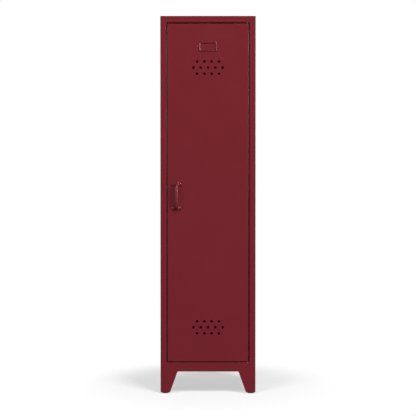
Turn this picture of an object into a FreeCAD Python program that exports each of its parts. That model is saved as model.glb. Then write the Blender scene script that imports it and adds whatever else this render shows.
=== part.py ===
import FreeCAD, Part

import math
import os

# A tall, narrow steel locker on four tapered corner legs. One flush door hangs on two upright
# pivot pins at its right edge and is held shut by a magnet behind its left edge. Inside are a hat
# shelf with a coat rail, a lower shelf and slotted uprights. Millimetres, +Z up, the door faces -Y.
# The origin is on the floor, at the middle of the whole object's footprint with the handle.

# Cabinet of folded sheet
WIDTH = 460.0
DEPTH = 350.0
HEIGHT = 1825.0
SHEET = 1.0
BEND = 2.5
FOLD = 1.8
RETURN = 20.0
REAR_RETURN = 10.0
SEAM = 0.3
LAP = 12.0
REAR_LAP = 6.0
HEM = 10.0
FLOOR_STEP = 2.5
FLOOR_FLANGE = 25.0
WALL_HOLE_SPACING = 300.0
WALL_HOLE_RADIUS = 3.25
WALL_HOLE_HEIGHT = 1740.0

# Legs and levelling feet
BODY_BOTTOM = 107.0
LEG_END = 6.0
LEG_TOP_WIDTH = 82.5
LEG_FOOT_WIDTH = 46.0
LEG_CORNER = 7.0
FOOT_INSET = 22.5
PAD_RADIUS = 17.0
PAD_HEIGHT = 8.5
PAD_RIM = 2.5
PAD_EDGE = 1.2
SOCKET_FLOOR = 3.0
STUD_RADIUS = 4.0
STUD_TOP = 44.0
STUD_CHAMFER = 1.2
FOOT_PLATE = 2.5
FOOT_PLATE_REACH = 38.0
FOOT_PLATE_CORNER = 4.0
FOOT_NUT_FLATS = 13.0
FOOT_NUT_HEIGHT = 6.5

# Door opening, door and pivots
STILE = 29.5
TOP_RAIL = 31.0
BOTTOM_RAIL = 44.0
OPENING_CORNER = 6.0
JAMB_BEND = 1.5
JAMB_DEPTH = 22.0
STOP_OVERLAP = 12.0
STOP_RIGHT_END = 160.0
DOOR_GAP = 4.5
DOOR_TOP_GAP = 6.0
DOOR_DEPTH = 20.0
DOOR_CORNER = 3.0
DOOR_BEND = 2.0
DOOR_HEM = 14.0
STIFFENER_HALF_CROWN = 22.0
STIFFENER_HALF_BRIM = 36.0
STIFFENER_DEPTH = 15.0
STIFFENER_FROM_VENTS = 80.0
BUFFER_FROM_CORNER = 90.0
BUFFER_RADIUS = 4.5
BUFFER_STEM_RADIUS = 2.0
BUFFER_BARB = (3.0, 1.6, 4.0)
PIVOT_INSET = 7.0
PIVOT_BACK = 8.0
PIVOT_RADIUS = 4.0
PIN_REACH = 12.0
PIN_HEAD_RADIUS = 6.5
PIN_HEAD_HEIGHT = 3.0
PIN_TAIL = 2.0
COLLAR_RADIUS = 5.2
COLLAR_HEIGHT = 3.3
PIVOT_PLATE = 3.0
PIVOT_PLATE_REACH = 22.0
BRACKET_REACH = 28.0
BUSH_RADIUS = 5.5
BUSH_LENGTH = 14.0
BUSH_FLANGE = 1.0

# What shows on the door
VENT_RADIUS = 6.2
VENT_PITCH = 35.2
VENT_ROW_PITCH = 29.2
VENT_ROWS = (4, 5, 4)
VENT_HEIGHTS = (322.0, 1576.5)
LABEL_HEIGHT = 1677.5
LABEL_SIZE = (85.0, 44.5)
LABEL_BAR = 6.0
LABEL_PROUD = 6.0
LABEL_CORNER = 2.0
LABEL_EDGE = 1.2
LABEL_EAR_RADIUS = 4.5
LABEL_RIVET_X = 49.5
HANDLE_X = -151.0
HANDLE_HEIGHT = 956.5
HANDLE_CENTRES = 115.0
HANDLE_REACH = 30.0
HANDLE_TIGHT_BEND = 17.0
HANDLE_TIGHT_TURN = 60.0
HANDLE_EASY_BEND = 55.0
GRIP_RADIUS = 8.0
NECK_RADIUSES = (11.0, 7.6)
NECK_LENGTH = 6.0
FOOT_OVAL = (26.5, 11.8)
OVAL_THICKNESS = 5.5
OVAL_EDGE = 3.0
SCREW_SPREAD = 19.8

# Fasteners and clearances
SCREW_RADIUS = 2.0
SCREW_HEAD_RADIUS = 4.6
SCREW_HEAD_HEIGHT = 2.6
SCREW_HEAD_EDGE = 1.4
SCREW_RECESS = (2.2, 0.45, 1.3)
SCREW_TAIL = 5.0
NUT_FLATS = 7.0
NUT_HEIGHT = 3.2
RIVET_RADIUS = 1.5
RIVET_HEAD_RADIUS = 3.0
RIVET_HEAD_HEIGHT = 1.5
RIVET_HEAD_EDGE = 1.2
RIVET_TAIL = 1.0
RUNNING_FIT = 0.05
LOOSE_FIT = 0.15
AIR_GAP = 0.3
NEAR = 0.01
OVERCUT = 1.0

# Magnetic catch
CATCH_HEIGHT = 956.5
STRIKE_THICKNESS = 1.5
STRIKE_HALF_HEIGHT = 26.0
STRIKE_WIDTH = 22.5
STRIKE_CORNER = 2.0
STRIKE_RIVET_RISE = 18.0
CATCH_SHEET = 1.2
CASE_HALF_HEIGHT = 23.0
CASE_WIDTH = 15.0
CASE_DEPTH = 18.0
CASE_CORNER = 1.5
CASE_WALL = 2.0
CASE_END = 9.0
CASE_SETBACK = 0.6
POLE_THICKNESS = 2.2
MAGNET_DEPTH = 11.8
CATCH_PLAY = 0.2
CATCH_LIP = 6.0
CATCH_LEG = 22.0
CATCH_SCREW_SETBACK = 9.0
CATCH_SCREW_IN = 4.5
CATCH_SCREW_LENGTH = 11.0

# Shelves, uprights and coat rail
UPRIGHT_WIDTH = 20.0
UPRIGHT_DEPTH = 8.0
UPRIGHT_LOW = 170.0
UPRIGHT_HIGH = 1770.0
UPRIGHT_FRONT_INSET = 62.0
UPRIGHT_REAR_INSET = 45.0
SLOT_PITCH = 50.0
SLOT_SIZE = (5.0, 14.0)
HAT_SHELF_SLOT = 26
LOWER_SHELF_SLOT = 4
LEDGE_OVER_SLOT = 5.0
SHELF_FLANGE = 20.0
SHELF_FRONT_INSET = 34.0
SHELF_REAR_INSET = 12.0
SHELF_SIDE_GAP = 2.2
CLIP_THICKNESS = 1.5
CLIP_HALF_WIDTH = 8.0
CLIP_LEDGE = 14.0
CLIP_RISE = 12.0
CLIP_DROP = 14.0
TONGUE_REACH = 3.5
TONGUE_PLAY = 0.4
RAIL_RADIUS = 9.0
RAIL_WALL = 1.2
RAIL_DROP = 45.0
RAIL_LENGTH = 250.0
HANGER_THICKNESS = 2.0
HANGER_HALF_WIDTH = 17.0
HANGER_FROM_END = 12.0
HANGER_FLANGE = 18.0
HANGER_CORNER = 5.0
HANGER_RIVET_X = 10.0
HANGER_RIVET_Y = 10.0

# Places worked out from the sizes above
HALF = WIDTH / 2
PROJECTION = HANDLE_REACH + GRIP_RADIUS
Y_FRONT = (PROJECTION - DEPTH) / 2
Y_BACK = Y_FRONT + DEPTH
Y_MIDDLE = (Y_FRONT + Y_BACK) / 2
WALL_INSIDE = HALF - SHEET
FRONT_SEAM = Y_FRONT + RETURN
TOP_SEAM = HEIGHT - RETURN
OPEN_HALF = HALF - STILE
OPEN_LOW = BODY_BOTTOM + BOTTOM_RAIL
OPEN_HIGH = HEIGHT - TOP_RAIL
DOOR_HALF = OPEN_HALF - DOOR_GAP
DOOR_LOW = OPEN_LOW + DOOR_GAP
DOOR_HIGH = OPEN_HIGH - DOOR_TOP_GAP
DOOR_BACK = Y_FRONT + DOOR_DEPTH
STOP_Y = Y_FRONT + JAMB_DEPTH
PIVOT_X = DOOR_HALF - PIVOT_INSET
PIVOT_Y = Y_FRONT + PIVOT_BACK
FLOOR_TOP = OPEN_LOW + FLOOR_STEP
FOOT_PLATE_LOW = PAD_HEIGHT + AIR_GAP
UPRIGHT_FACE = WALL_INSIDE - UPRIGHT_DEPTH
UPRIGHT_YS = {"front": Y_FRONT + UPRIGHT_FRONT_INSET, "rear": Y_BACK - UPRIGHT_REAR_INSET}
SHELF_HALF = UPRIGHT_FACE - SHELF_SIDE_GAP
SHELF_YS = (Y_FRONT + SHELF_FRONT_INSET, Y_BACK - SHELF_REAR_INSET)
SHELF_MIDDLE = sum(SHELF_YS) / 2
RAIL_ENDS = (SHELF_MIDDLE - RAIL_LENGTH / 2, SHELF_MIDDLE + RAIL_LENGTH / 2)
HANGER_YS = {"front": RAIL_ENDS[0] + HANGER_FROM_END, "rear": RAIL_ENDS[1] - HANGER_FROM_END}
SIDES = {"left": -1, "right": 1}
FOOT_CENTRES = {
    "front_left": (-HALF + FOOT_INSET, Y_FRONT + FOOT_INSET),
    "front_right": (HALF - FOOT_INSET, Y_FRONT + FOOT_INSET),
    "rear_left": (-HALF + FOOT_INSET, Y_BACK - FOOT_INSET),
    "rear_right": (HALF - FOOT_INSET, Y_BACK - FOOT_INSET),
}

ORIGIN = FreeCAD.Vector(0, 0, 0)
X_AXIS = FreeCAD.Vector(1, 0, 0)
Y_AXIS = FreeCAD.Vector(0, 1, 0)
Z_AXIS = FreeCAD.Vector(0, 0, 1)


# Building blocks


def block(xs, ys, zs):
    """A box between two x, two y and two z values, given in any order."""
    low = FreeCAD.Vector(min(xs), min(ys), min(zs))
    return Part.makeBox(abs(xs[1] - xs[0]), abs(ys[1] - ys[0]), abs(zs[1] - zs[0]), low)


def rod(radius, start, length, axis):
    """A cylinder from a start point along an axis."""
    return Part.makeCylinder(radius, length, FreeCAD.Vector(*start), axis)


def drill(radius, centre, axis, depth=SHEET + PIVOT_PLATE):
    """A cutting cylinder that runs as far each way from its centre as the depth."""
    start = FreeCAD.Vector(*centre) - axis * depth
    return Part.makeCylinder(radius, 2 * depth, start, axis)


def fused(shapes):
    """Shapes joined into one solid, with faces in one plane merged."""
    whole = shapes[0]
    for shape in shapes[1:]:
        whole = whole.fuse(shape)
    return whole.removeSplitter()


def runs_along(edge, axis):
    """True for a straight edge parallel to an axis."""
    if not isinstance(edge.Curve, (Part.Line, Part.LineSegment)):
        return False
    return edge.tangentAt(edge.FirstParameter).cross(axis).Length < NEAR


def rounded(shape, radius, chosen):
    """The shape with a fillet on every edge that the test accepts."""
    return shape.makeFillet(radius, [edge for edge in shape.Edges if chosen(edge)])


def rounded_prism(half_width, zs, ys, radius):
    """A block through Y whose four corners, seen from the front, are rounded."""
    return rounded(block((-half_width, half_width), ys, zs), radius, lambda e: runs_along(e, Y_AXIS))


def hexagon(across_flats, centre, axis, length):
    """A hexagonal prism for a nut."""
    radius = across_flats / math.sqrt(3)
    side = X_AXIS
    other = axis.cross(side)
    points = []
    for corner in range(7):
        angle = corner * math.pi / 3
        points.append(centre + side * (radius * math.cos(angle)) + other * (radius * math.sin(angle)))
    return Part.Face(Part.makePolygon(points)).extrude(axis * length)


def dome_head(radius, height, edge, seat, axis):
    """A low round head on a seat, softened along its outer edge."""
    head = Part.makeCylinder(radius, height, ORIGIN, Z_AXIS)
    head = rounded(head, edge, lambda e: e.BoundBox.ZMin > height - NEAR)
    head.Placement = FreeCAD.Placement(FreeCAD.Vector(*seat), FreeCAD.Rotation(Z_AXIS, axis))
    return head


def pillow(xs, ys, zs, radius):
    """A block whose upright edges and top edges are rounded."""
    top = max(zs) - NEAR
    return rounded(block(xs, ys, zs), radius, lambda e: runs_along(e, Z_AXIS) or e.BoundBox.ZMin > top)


def bent_line(start, ahead, aside, moves):
    """A flat line that turns from ahead towards aside; a bend is (radius, turn), a run (0, length)."""

    def heading(angle):
        return ahead * math.cos(angle) + aside * math.sin(angle)

    edges = []
    across = math.pi / 2
    turned = 0.0
    for radius, amount in moves:
        if radius:
            centre = start + heading(turned + across) * radius
            middle = centre - heading(turned + across + amount / 2) * radius
            turned += amount
            end = centre - heading(turned + across) * radius
            edges.append(Part.Arc(start, middle, end).toShape())
        else:
            end = start + heading(turned) * amount
            edges.append(Part.LineSegment(start, end).toShape())
        start = end
    return Part.Wire(edges)


def tray(xs, ys, top, flange):
    """A sheet with four edges folded down."""
    inner_xs = (xs[0] + SHEET, xs[1] - SHEET)
    inner_ys = (ys[0] + SHEET, ys[1] - SHEET)
    outer = pillow(xs, ys, (top - flange, top), FOLD)
    return outer.cut(pillow(inner_xs, inner_ys, (top - flange - OVERCUT, top - SHEET), FOLD - SHEET))


def leg_notch(span, middle, along, through, depths):
    """The cut-out between two legs: a trapezoid, wider at the floor, with rounded upper corners."""
    floor_half = span / 2 - LEG_FOOT_WIDTH
    top_half = span / 2 - LEG_TOP_WIDTH
    slope = (floor_half - top_half) / (BODY_BOTTOM - LEG_END)
    low_half = floor_half + slope * LEG_END
    outline = [(-low_half, 0), (-top_half, BODY_BOTTOM), (top_half, BODY_BOTTOM), (low_half, 0)]
    points = [along * (middle + u) + Z_AXIS * z + through * min(depths) for u, z in outline]
    face = Part.Face(Part.makePolygon(points + points[:1]))
    prism = face.extrude(through * abs(depths[1] - depths[0]))
    return rounded(
        prism,
        LEG_CORNER,
        lambda e: runs_along(e, through) and e.BoundBox.ZMin > BODY_BOTTOM - NEAR,
    )


# The folded steel cabinet


def skin_block(inset, base):
    """The cabinet's outline, drawn in from its outside by an inset, with its bends rounded."""
    return pillow(
        (-HALF + inset, HALF - inset),
        (Y_FRONT + inset, Y_BACK - inset),
        (base, HEIGHT - inset),
        BEND - inset,
    )


def cabinet_skin():
    """The whole folded skin, open below, which the outer panels are parted from."""
    return skin_block(0, LEG_END).cut(skin_block(SHEET, 0))


def front_frame(skin):
    """The face frame: stiles, rails and front leg faces in one sheet, with a jamb round the opening."""
    face = skin.common(block((-HALF, HALF), (Y_FRONT, FRONT_SEAM), (0, HEIGHT)))
    opening = rounded_prism(
        OPEN_HALF,
        (OPEN_LOW, OPEN_HIGH),
        (Y_FRONT - OVERCUT, STOP_Y + OVERCUT),
        OPENING_CORNER,
    )
    sleeve = rounded_prism(
        OPEN_HALF + SHEET,
        (OPEN_LOW - SHEET, OPEN_HIGH + SHEET),
        (Y_FRONT, STOP_Y),
        OPENING_CORNER + SHEET,
    )
    hem_half = HALF - LEG_TOP_WIDTH - LEG_CORNER
    hem = block((-hem_half, hem_half), (Y_FRONT, Y_FRONT + HEM), (BODY_BOTTOM, BODY_BOTTOM + SHEET))
    frame = face.cut(leg_notch(WIDTH, 0, X_AXIS, Y_AXIS, (Y_FRONT - OVERCUT, Y_FRONT + BEND)))
    frame = fused([frame.fuse(sleeve).cut(opening), hem])
    frame = rounded(
        frame,
        JAMB_BEND,
        lambda e: e.BoundBox.YMax < Y_FRONT + NEAR
        and abs(e.CenterOfMass.x) < OPEN_HALF + NEAR
        and OPEN_LOW - NEAR < e.CenterOfMass.z < OPEN_HIGH + NEAR,
    )
    for z in (OPEN_LOW, OPEN_HIGH):
        frame = frame.cut(drill(PIVOT_RADIUS + LOOSE_FIT, (PIVOT_X, PIVOT_Y, z), Z_AXIS))
    return frame


def side_panel(skin, side):
    """A side sheet with its rear corner bend, its two leg faces and a lap strip under the frame."""
    panel = skin.common(
        block((side * (HALF - REAR_RETURN), side * HALF), (FRONT_SEAM + SEAM, Y_BACK), (0, TOP_SEAM - SEAM))
    )
    strip = block(
        (side * WALL_INSIDE, side * (WALL_INSIDE - SHEET)),
        (FRONT_SEAM - LAP, FRONT_SEAM + LAP),
        (LEG_END + LAP, TOP_SEAM - 2 * LAP),
    )
    hem_half = DEPTH / 2 - LEG_TOP_WIDTH - LEG_CORNER
    hem = block(
        (side * HALF, side * (HALF - HEM)),
        (Y_MIDDLE - hem_half, Y_MIDDLE + hem_half),
        (BODY_BOTTOM, BODY_BOTTOM + SHEET),
    )
    depths = (side * (HALF + OVERCUT), side * (HALF - BEND))
    notch = leg_notch(DEPTH, Y_MIDDLE, Y_AXIS, X_AXIS, depths)
    return fused([panel.fuse(strip).cut(notch), hem])


def back_panel(skin):
    """The back sheet with its leg faces, lap strips and the two wall-fixing holes."""
    edge = HALF - REAR_RETURN
    inside = Y_BACK - SHEET
    panel = skin.common(block((-edge + SEAM, edge - SEAM), (inside, Y_BACK), (0, TOP_SEAM - SEAM)))
    strips = []
    for side in SIDES.values():
        xs = (side * (edge - LAP), side * (edge + REAR_LAP))
        strips.append(block(xs, (inside, inside - SHEET), (LEG_END + LAP, TOP_SEAM - 2 * LAP)))
    hem_half = HALF - LEG_TOP_WIDTH - LEG_CORNER
    hem = block((-hem_half, hem_half), (Y_BACK, Y_BACK - HEM), (BODY_BOTTOM, BODY_BOTTOM + SHEET))
    notch = leg_notch(WIDTH, 0, X_AXIS, Y_AXIS, (Y_BACK - BEND, Y_BACK + OVERCUT))
    sheet = fused([fused([panel] + strips).cut(notch), hem])
    for side in SIDES.values():
        centre = (side * WALL_HOLE_SPACING / 2, Y_BACK, WALL_HOLE_HEIGHT)
        sheet = sheet.cut(drill(WALL_HOLE_RADIUS, centre, Y_AXIS))
    return sheet


def top_panel(skin):
    """The lid sheet with flanges down both sides and the back, and lap strips inside its seams."""
    lid = skin.common(block((-HALF, HALF), (FRONT_SEAM + SEAM, Y_BACK), (TOP_SEAM, HEIGHT)))
    inside = HEIGHT - SHEET
    strip_zs = (TOP_SEAM - LAP, TOP_SEAM + LAP)
    front_half = HALF - LAP
    rear_half = HALF - RETURN - 2 * LAP
    strips = [
        block((-front_half, front_half), (FRONT_SEAM - LAP, FRONT_SEAM + LAP), (inside - SHEET, inside)),
        block((-rear_half, rear_half), (Y_BACK - 2 * SHEET, Y_BACK - SHEET), strip_zs),
    ]
    for side in SIDES.values():
        xs = (side * WALL_INSIDE, side * (WALL_INSIDE - SHEET))
        strips.append(block(xs, (FRONT_SEAM + 2 * LAP, Y_BACK - RETURN - LAP), strip_zs))
    return fused([lid] + strips)


def floor_panel():
    """The cabinet's floor: a tray between the sides, its front corners cut clear of the lap strips."""
    ys = (STOP_Y + 2 * SHEET, Y_BACK - 2 * SHEET)
    sheet = tray((-WALL_INSIDE, WALL_INSIDE), ys, FLOOR_TOP, FLOOR_FLANGE)
    for side in SIDES.values():
        sheet = sheet.cut(
            block(
                (side * (WALL_INSIDE - SHEET - SEAM), side * HALF),
                (STOP_Y, FRONT_SEAM + LAP + SEAM),
                (FLOOR_TOP - FLOOR_FLANGE, FLOOR_TOP),
            )
        )
    return sheet


def buffer_centres():
    """Places of the rubber buffers on the latch stop."""
    x = -OPEN_HALF + STOP_OVERLAP / 2
    return ((x, DOOR_LOW + BUFFER_FROM_CORNER), (x, DOOR_HIGH - BUFFER_FROM_CORNER))


def door_stops():
    """Flat strips behind the jamb, which the door closes against on three sides."""
    ys = (STOP_Y, STOP_Y + SHEET)
    low = OPEN_LOW - LAP
    high = OPEN_HIGH + LAP
    latch = block((-OPEN_HALF - LAP, -OPEN_HALF + STOP_OVERLAP), ys, (low, high))
    for x, z in buffer_centres():
        latch = latch.cut(drill(BUFFER_STEM_RADIUS + LOOSE_FIT, (x, STOP_Y, z), Y_AXIS))
    left_end = -OPEN_HALF + STOP_OVERLAP + SEAM
    return {
        "door_stop_latch": latch,
        "door_stop_top": block((left_end, STOP_RIGHT_END), ys, (OPEN_HIGH - STOP_OVERLAP, high)),
        "door_stop_bottom": block((left_end, STOP_RIGHT_END), ys, (low, OPEN_LOW + STOP_OVERLAP)),
    }


def door_buffers():
    """Rubber buttons that quieten the door, each pushed through a hole in the latch stop."""
    solids = []
    for x, z in buffer_centres():
        thickness = JAMB_DEPTH - DOOR_DEPTH - AIR_GAP
        head = dome_head(BUFFER_RADIUS, thickness, thickness / 2, (x, STOP_Y, z), Y_AXIS * -1)
        stem = rod(BUFFER_STEM_RADIUS, (x, STOP_Y, z), SHEET, Y_AXIS)
        barb_base = FreeCAD.Vector(x, STOP_Y + SHEET, z)
        barb = Part.makeCone(BUFFER_BARB[0], BUFFER_BARB[1], BUFFER_BARB[2], barb_base, Y_AXIS)
        solids.append(fused([head, stem, barb]))
    return Part.makeCompound(solids)


# Levelling feet and the plates that carry them


def foot_plate(centre):
    """A plate welded across a leg's corner, with a nut on it for the levelling foot."""
    x, y = centre
    inward_x = -1 if x > 0 else 1
    inward_y = -1 if y > Y_MIDDLE else 1
    wall_x = x - inward_x * (FOOT_INSET - SHEET)
    wall_y = y - inward_y * (FOOT_INSET - SHEET)
    high = FOOT_PLATE_LOW + FOOT_PLATE
    plate = block(
        (wall_x, wall_x + inward_x * FOOT_PLATE_REACH),
        (wall_y, wall_y + inward_y * FOOT_PLATE_REACH),
        (FOOT_PLATE_LOW, high),
    )
    plate = rounded(plate, FOOT_PLATE_CORNER, lambda e: runs_along(e, Z_AXIS))
    nut = hexagon(FOOT_NUT_FLATS, FreeCAD.Vector(x, y, high), Z_AXIS, FOOT_NUT_HEIGHT)
    return fused([plate, nut]).cut(drill(STUD_RADIUS + LOOSE_FIT, (x, y, high), Z_AXIS, STUD_TOP))


def foot_pad(centre):
    """The moulded black pad of a levelling foot, rounded at its rim, with a socket for the stud."""
    x, y = centre
    pad = rod(PAD_RADIUS, (x, y, 0), PAD_HEIGHT, Z_AXIS)
    pad = rounded(pad, PAD_RIM, lambda e: e.BoundBox.ZMax < NEAR)
    pad = rounded(pad, PAD_EDGE, lambda e: e.BoundBox.ZMin > PAD_HEIGHT - NEAR)
    return pad.cut(rod(STUD_RADIUS + RUNNING_FIT, (x, y, SOCKET_FLOOR), PAD_HEIGHT, Z_AXIS))


def foot_stud(centre):
    """The steel stud of a levelling foot, with a chamfered end."""
    x, y = centre
    stud = rod(STUD_RADIUS, (x, y, SOCKET_FLOOR), STUD_TOP - SOCKET_FLOOR, Z_AXIS)
    return stud.makeChamfer(STUD_CHAMFER, [e for e in stud.Edges if e.BoundBox.ZMin > STUD_TOP - NEAR])


# The door and what it carries


def vent_centres():
    """Places of every vent hole on the door: three staggered rows above and below."""
    centres = []
    for middle in VENT_HEIGHTS:
        for row, count in enumerate(VENT_ROWS):
            z = middle + (1 - row) * VENT_ROW_PITCH
            for column in range(count):
                centres.append(((column - (count - 1) / 2) * VENT_PITCH, z))
    return centres


def handle_screw_centres():
    """Places of the four screws through the handle's two oval feet."""
    centres = []
    for end in (-1, 1):
        for side in (-1, 1):
            centres.append((HANDLE_X + side * SCREW_SPREAD, HANDLE_HEIGHT + end * HANDLE_CENTRES / 2))
    return centres


def label_rivet_centres():
    """Places of the two rivets through the card frame's ears."""
    return ((-LABEL_RIVET_X, LABEL_HEIGHT), (LABEL_RIVET_X, LABEL_HEIGHT))


def strike_rivet_centres():
    """Places of the two rivets that hold the strike plate to the door's hem."""
    x = -DOOR_HALF + DOOR_HEM - 2 * RIVET_RADIUS
    return ((x, CATCH_HEIGHT - STRIKE_RIVET_RISE), (x, CATCH_HEIGHT + STRIKE_RIVET_RISE))


def door_holes():
    """Everything that is pierced through the door: vents, fastener holes and pivot holes."""
    holes = [drill(VENT_RADIUS, (x, Y_FRONT, z), Y_AXIS) for x, z in vent_centres()]
    for x, z in handle_screw_centres():
        holes.append(drill(SCREW_RADIUS + LOOSE_FIT, (x, Y_FRONT, z), Y_AXIS))
    for x, z in label_rivet_centres():
        holes.append(drill(RIVET_RADIUS + LOOSE_FIT, (x, Y_FRONT, z), Y_AXIS))
    for x, z in strike_rivet_centres():
        holes.append(drill(RIVET_RADIUS + LOOSE_FIT, (x, DOOR_BACK, z), Y_AXIS))
    for z in (DOOR_LOW, DOOR_HIGH):
        holes.append(drill(BUSH_RADIUS + RUNNING_FIT, (PIVOT_X, PIVOT_Y, z), Z_AXIS))
    return Part.makeCompound(holes)


def door_panel():
    """The door: a tray of one sheet, its edges folded back and hemmed, pierced by the vents."""
    door = rounded_prism(DOOR_HALF, (DOOR_LOW, DOOR_HIGH), (Y_FRONT, DOOR_BACK), DOOR_CORNER)
    door = rounded(door, DOOR_BEND, lambda e: e.BoundBox.YMax < Y_FRONT + NEAR)
    inner_front = Y_FRONT + SHEET
    hollow = rounded_prism(
        DOOR_HALF - SHEET,
        (DOOR_LOW + SHEET, DOOR_HIGH - SHEET),
        (inner_front, DOOR_BACK - SHEET),
        DOOR_CORNER - SHEET,
    )
    hollow = rounded(hollow, DOOR_BEND - SHEET, lambda e: e.BoundBox.YMax < inner_front + NEAR)
    window = rounded_prism(
        DOOR_HALF - DOOR_HEM,
        (DOOR_LOW + DOOR_HEM, DOOR_HIGH - DOOR_HEM),
        (Y_FRONT + DOOR_DEPTH / 2, DOOR_BACK + OVERCUT),
        DOOR_BEND,
    )
    return door.cut(hollow).cut(window).cut(door_holes())


def stands_on(edge, places):
    """True for an edge at one of the places, given as the y for each distance from the middle."""
    centre = edge.CenterOfMass
    return any(abs(abs(centre.x) - x) < NEAR and abs(centre.y - y) < NEAR for x, y in places.items())


def door_stiffener():
    """A hat-section channel spot-welded up the middle of the door between the two sets of vents."""
    zs = (VENT_HEIGHTS[0] + STIFFENER_FROM_VENTS, VENT_HEIGHTS[1] - STIFFENER_FROM_VENTS)
    front = Y_FRONT + SHEET
    back = front + STIFFENER_DEPTH
    crown = STIFFENER_HALF_CROWN
    walls = [block((-crown, crown), (back - SHEET, back), zs)]
    for side in SIDES.values():
        walls.append(block((side * crown, side * (crown - SHEET)), (front, back), zs))
        brim = (side * (crown - SHEET), side * STIFFENER_HALF_BRIM)
        walls.append(block(brim, (front, front + SHEET), zs))
    hat = fused(walls)
    outer_folds = {crown: back, crown - SHEET: front}
    inner_folds = {crown - SHEET: back - SHEET, crown: front + SHEET}
    for folds, radius in ((outer_folds, FOLD), (inner_folds, FOLD - SHEET)):
        hat = rounded(hat, radius, lambda e: runs_along(e, Z_AXIS) and stands_on(e, folds))
    return hat


def pivot_plate(seat, inward):
    """A thick plate inside a door corner, rounded to fit it, which the pivot bush sits in."""
    xs = (PIVOT_X - PIVOT_PLATE_REACH, DOOR_HALF - SHEET - SEAM)
    ys = (Y_FRONT + DOOR_BEND, DOOR_BACK - SHEET - SEAM)
    plate = rounded(
        block(xs, ys, (seat, seat + inward * PIVOT_PLATE)),
        DOOR_CORNER - SHEET,
        lambda e: runs_along(e, Y_AXIS)
        and e.CenterOfMass.x > PIVOT_X
        and abs(e.CenterOfMass.z - seat) < NEAR,
    )
    return plate.cut(drill(BUSH_RADIUS + RUNNING_FIT, (PIVOT_X, PIVOT_Y, seat), Z_AXIS))


def pivot_bush(mouth, inward):
    """A flanged bush in the door's edge; inward is +1 where the door lies above the mouth."""
    centre = (PIVOT_X, PIVOT_Y, mouth)
    flange = rod(BUSH_RADIUS + BUSH_FLANGE, centre, BUSH_FLANGE, Z_AXIS * -inward)
    sleeve = rod(BUSH_RADIUS, centre, BUSH_LENGTH, Z_AXIS * inward)
    return fused([flange, sleeve]).cut(drill(PIVOT_RADIUS + RUNNING_FIT, centre, Z_AXIS, 2 * BUSH_LENGTH))


def pivot_bracket(low):
    """A thick plate on the frame's rail, which holds a pivot pin upright."""
    xs = (PIVOT_X - BRACKET_REACH, OPEN_HALF)
    bracket = block(xs, (Y_FRONT + SHEET, STOP_Y - SHEET), (low, low + PIVOT_PLATE))
    return bracket.cut(drill(PIVOT_RADIUS + RUNNING_FIT, (PIVOT_X, PIVOT_Y, low), Z_AXIS))


def top_pivot_pin(seat):
    """The upper pin, dropped in from above with its head on the bracket."""
    head = dome_head(PIN_HEAD_RADIUS, PIN_HEAD_HEIGHT, BUSH_FLANGE, (PIVOT_X, PIVOT_Y, seat), Z_AXIS)
    low = DOOR_HIGH - PIN_REACH
    return fused([head, rod(PIVOT_RADIUS, (PIVOT_X, PIVOT_Y, low), seat - low, Z_AXIS)])


def bottom_pivot_pin(bracket_low):
    """The lower pin, whose collar stands on the rail and carries the door's bush."""
    low = bracket_low - PIN_TAIL
    shank = rod(PIVOT_RADIUS, (PIVOT_X, PIVOT_Y, low), DOOR_LOW + PIN_REACH - low, Z_AXIS)
    collar = rod(COLLAR_RADIUS, (PIVOT_X, PIVOT_Y, OPEN_LOW), COLLAR_HEIGHT, Z_AXIS)
    return fused([shank, collar])


def handle_path():
    """The bow's centre line: out of the upper foot, round a tight and an easy bend, down, and back in."""
    tight_turn = math.radians(HANDLE_TIGHT_TURN)
    bend_out = HANDLE_TIGHT_BEND * math.sin(tight_turn) + HANDLE_EASY_BEND * (1 - math.sin(tight_turn))
    bend_drop = HANDLE_TIGHT_BEND * (1 - math.cos(tight_turn)) + HANDLE_EASY_BEND * math.cos(tight_turn)
    sunk = OVAL_THICKNESS / 2
    stub = (0, HANDLE_REACH - sunk - bend_out)
    tight = (HANDLE_TIGHT_BEND, tight_turn)
    easy = (HANDLE_EASY_BEND, math.pi / 2 - tight_turn)
    grip = (0, HANDLE_CENTRES - 2 * bend_drop)
    start = FreeCAD.Vector(HANDLE_X, Y_FRONT - sunk, HANDLE_HEIGHT + HANDLE_CENTRES / 2)
    return bent_line(start, Y_AXIS * -1, Z_AXIS * -1, [stub, tight, easy, grip, easy, tight, stub])


def oval_foot(z):
    """One oval flange of the handle, softened along its front edge."""
    ellipse = Part.Ellipse(ORIGIN, FOOT_OVAL[0], FOOT_OVAL[1])
    flange = Part.Face(Part.Wire(ellipse.toShape())).extrude(Z_AXIS * OVAL_THICKNESS)
    flange = rounded(flange, OVAL_EDGE, lambda e: e.BoundBox.ZMin > OVAL_THICKNESS - NEAR)
    flange.rotate(ORIGIN, X_AXIS, 90)
    flange.translate(FreeCAD.Vector(HANDLE_X, Y_FRONT, z))
    return flange


def handle():
    """A bow handle cast in one piece: a round grip between two oval screwed feet."""
    path = handle_path()
    out = Y_AXIS * -1
    section = Part.Wire(Part.makeCircle(GRIP_RADIUS, path.Vertexes[0].Point, out))
    pieces = [path.makePipeShell([section], True, False)]
    for end in (-1, 1):
        z = HANDLE_HEIGHT + end * HANDLE_CENTRES / 2
        pieces.append(oval_foot(z))
        neck_base = FreeCAD.Vector(HANDLE_X, Y_FRONT - OVAL_THICKNESS / 2, z)
        pieces.append(Part.makeCone(NECK_RADIUSES[0], NECK_RADIUSES[1], NECK_LENGTH, neck_base, out))
    body = fused(pieces)
    for x, z in handle_screw_centres():
        body = body.cut(drill(SCREW_RADIUS + LOOSE_FIT, (x, Y_FRONT, z), Y_AXIS, 2 * OVAL_THICKNESS))
    return body


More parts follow.
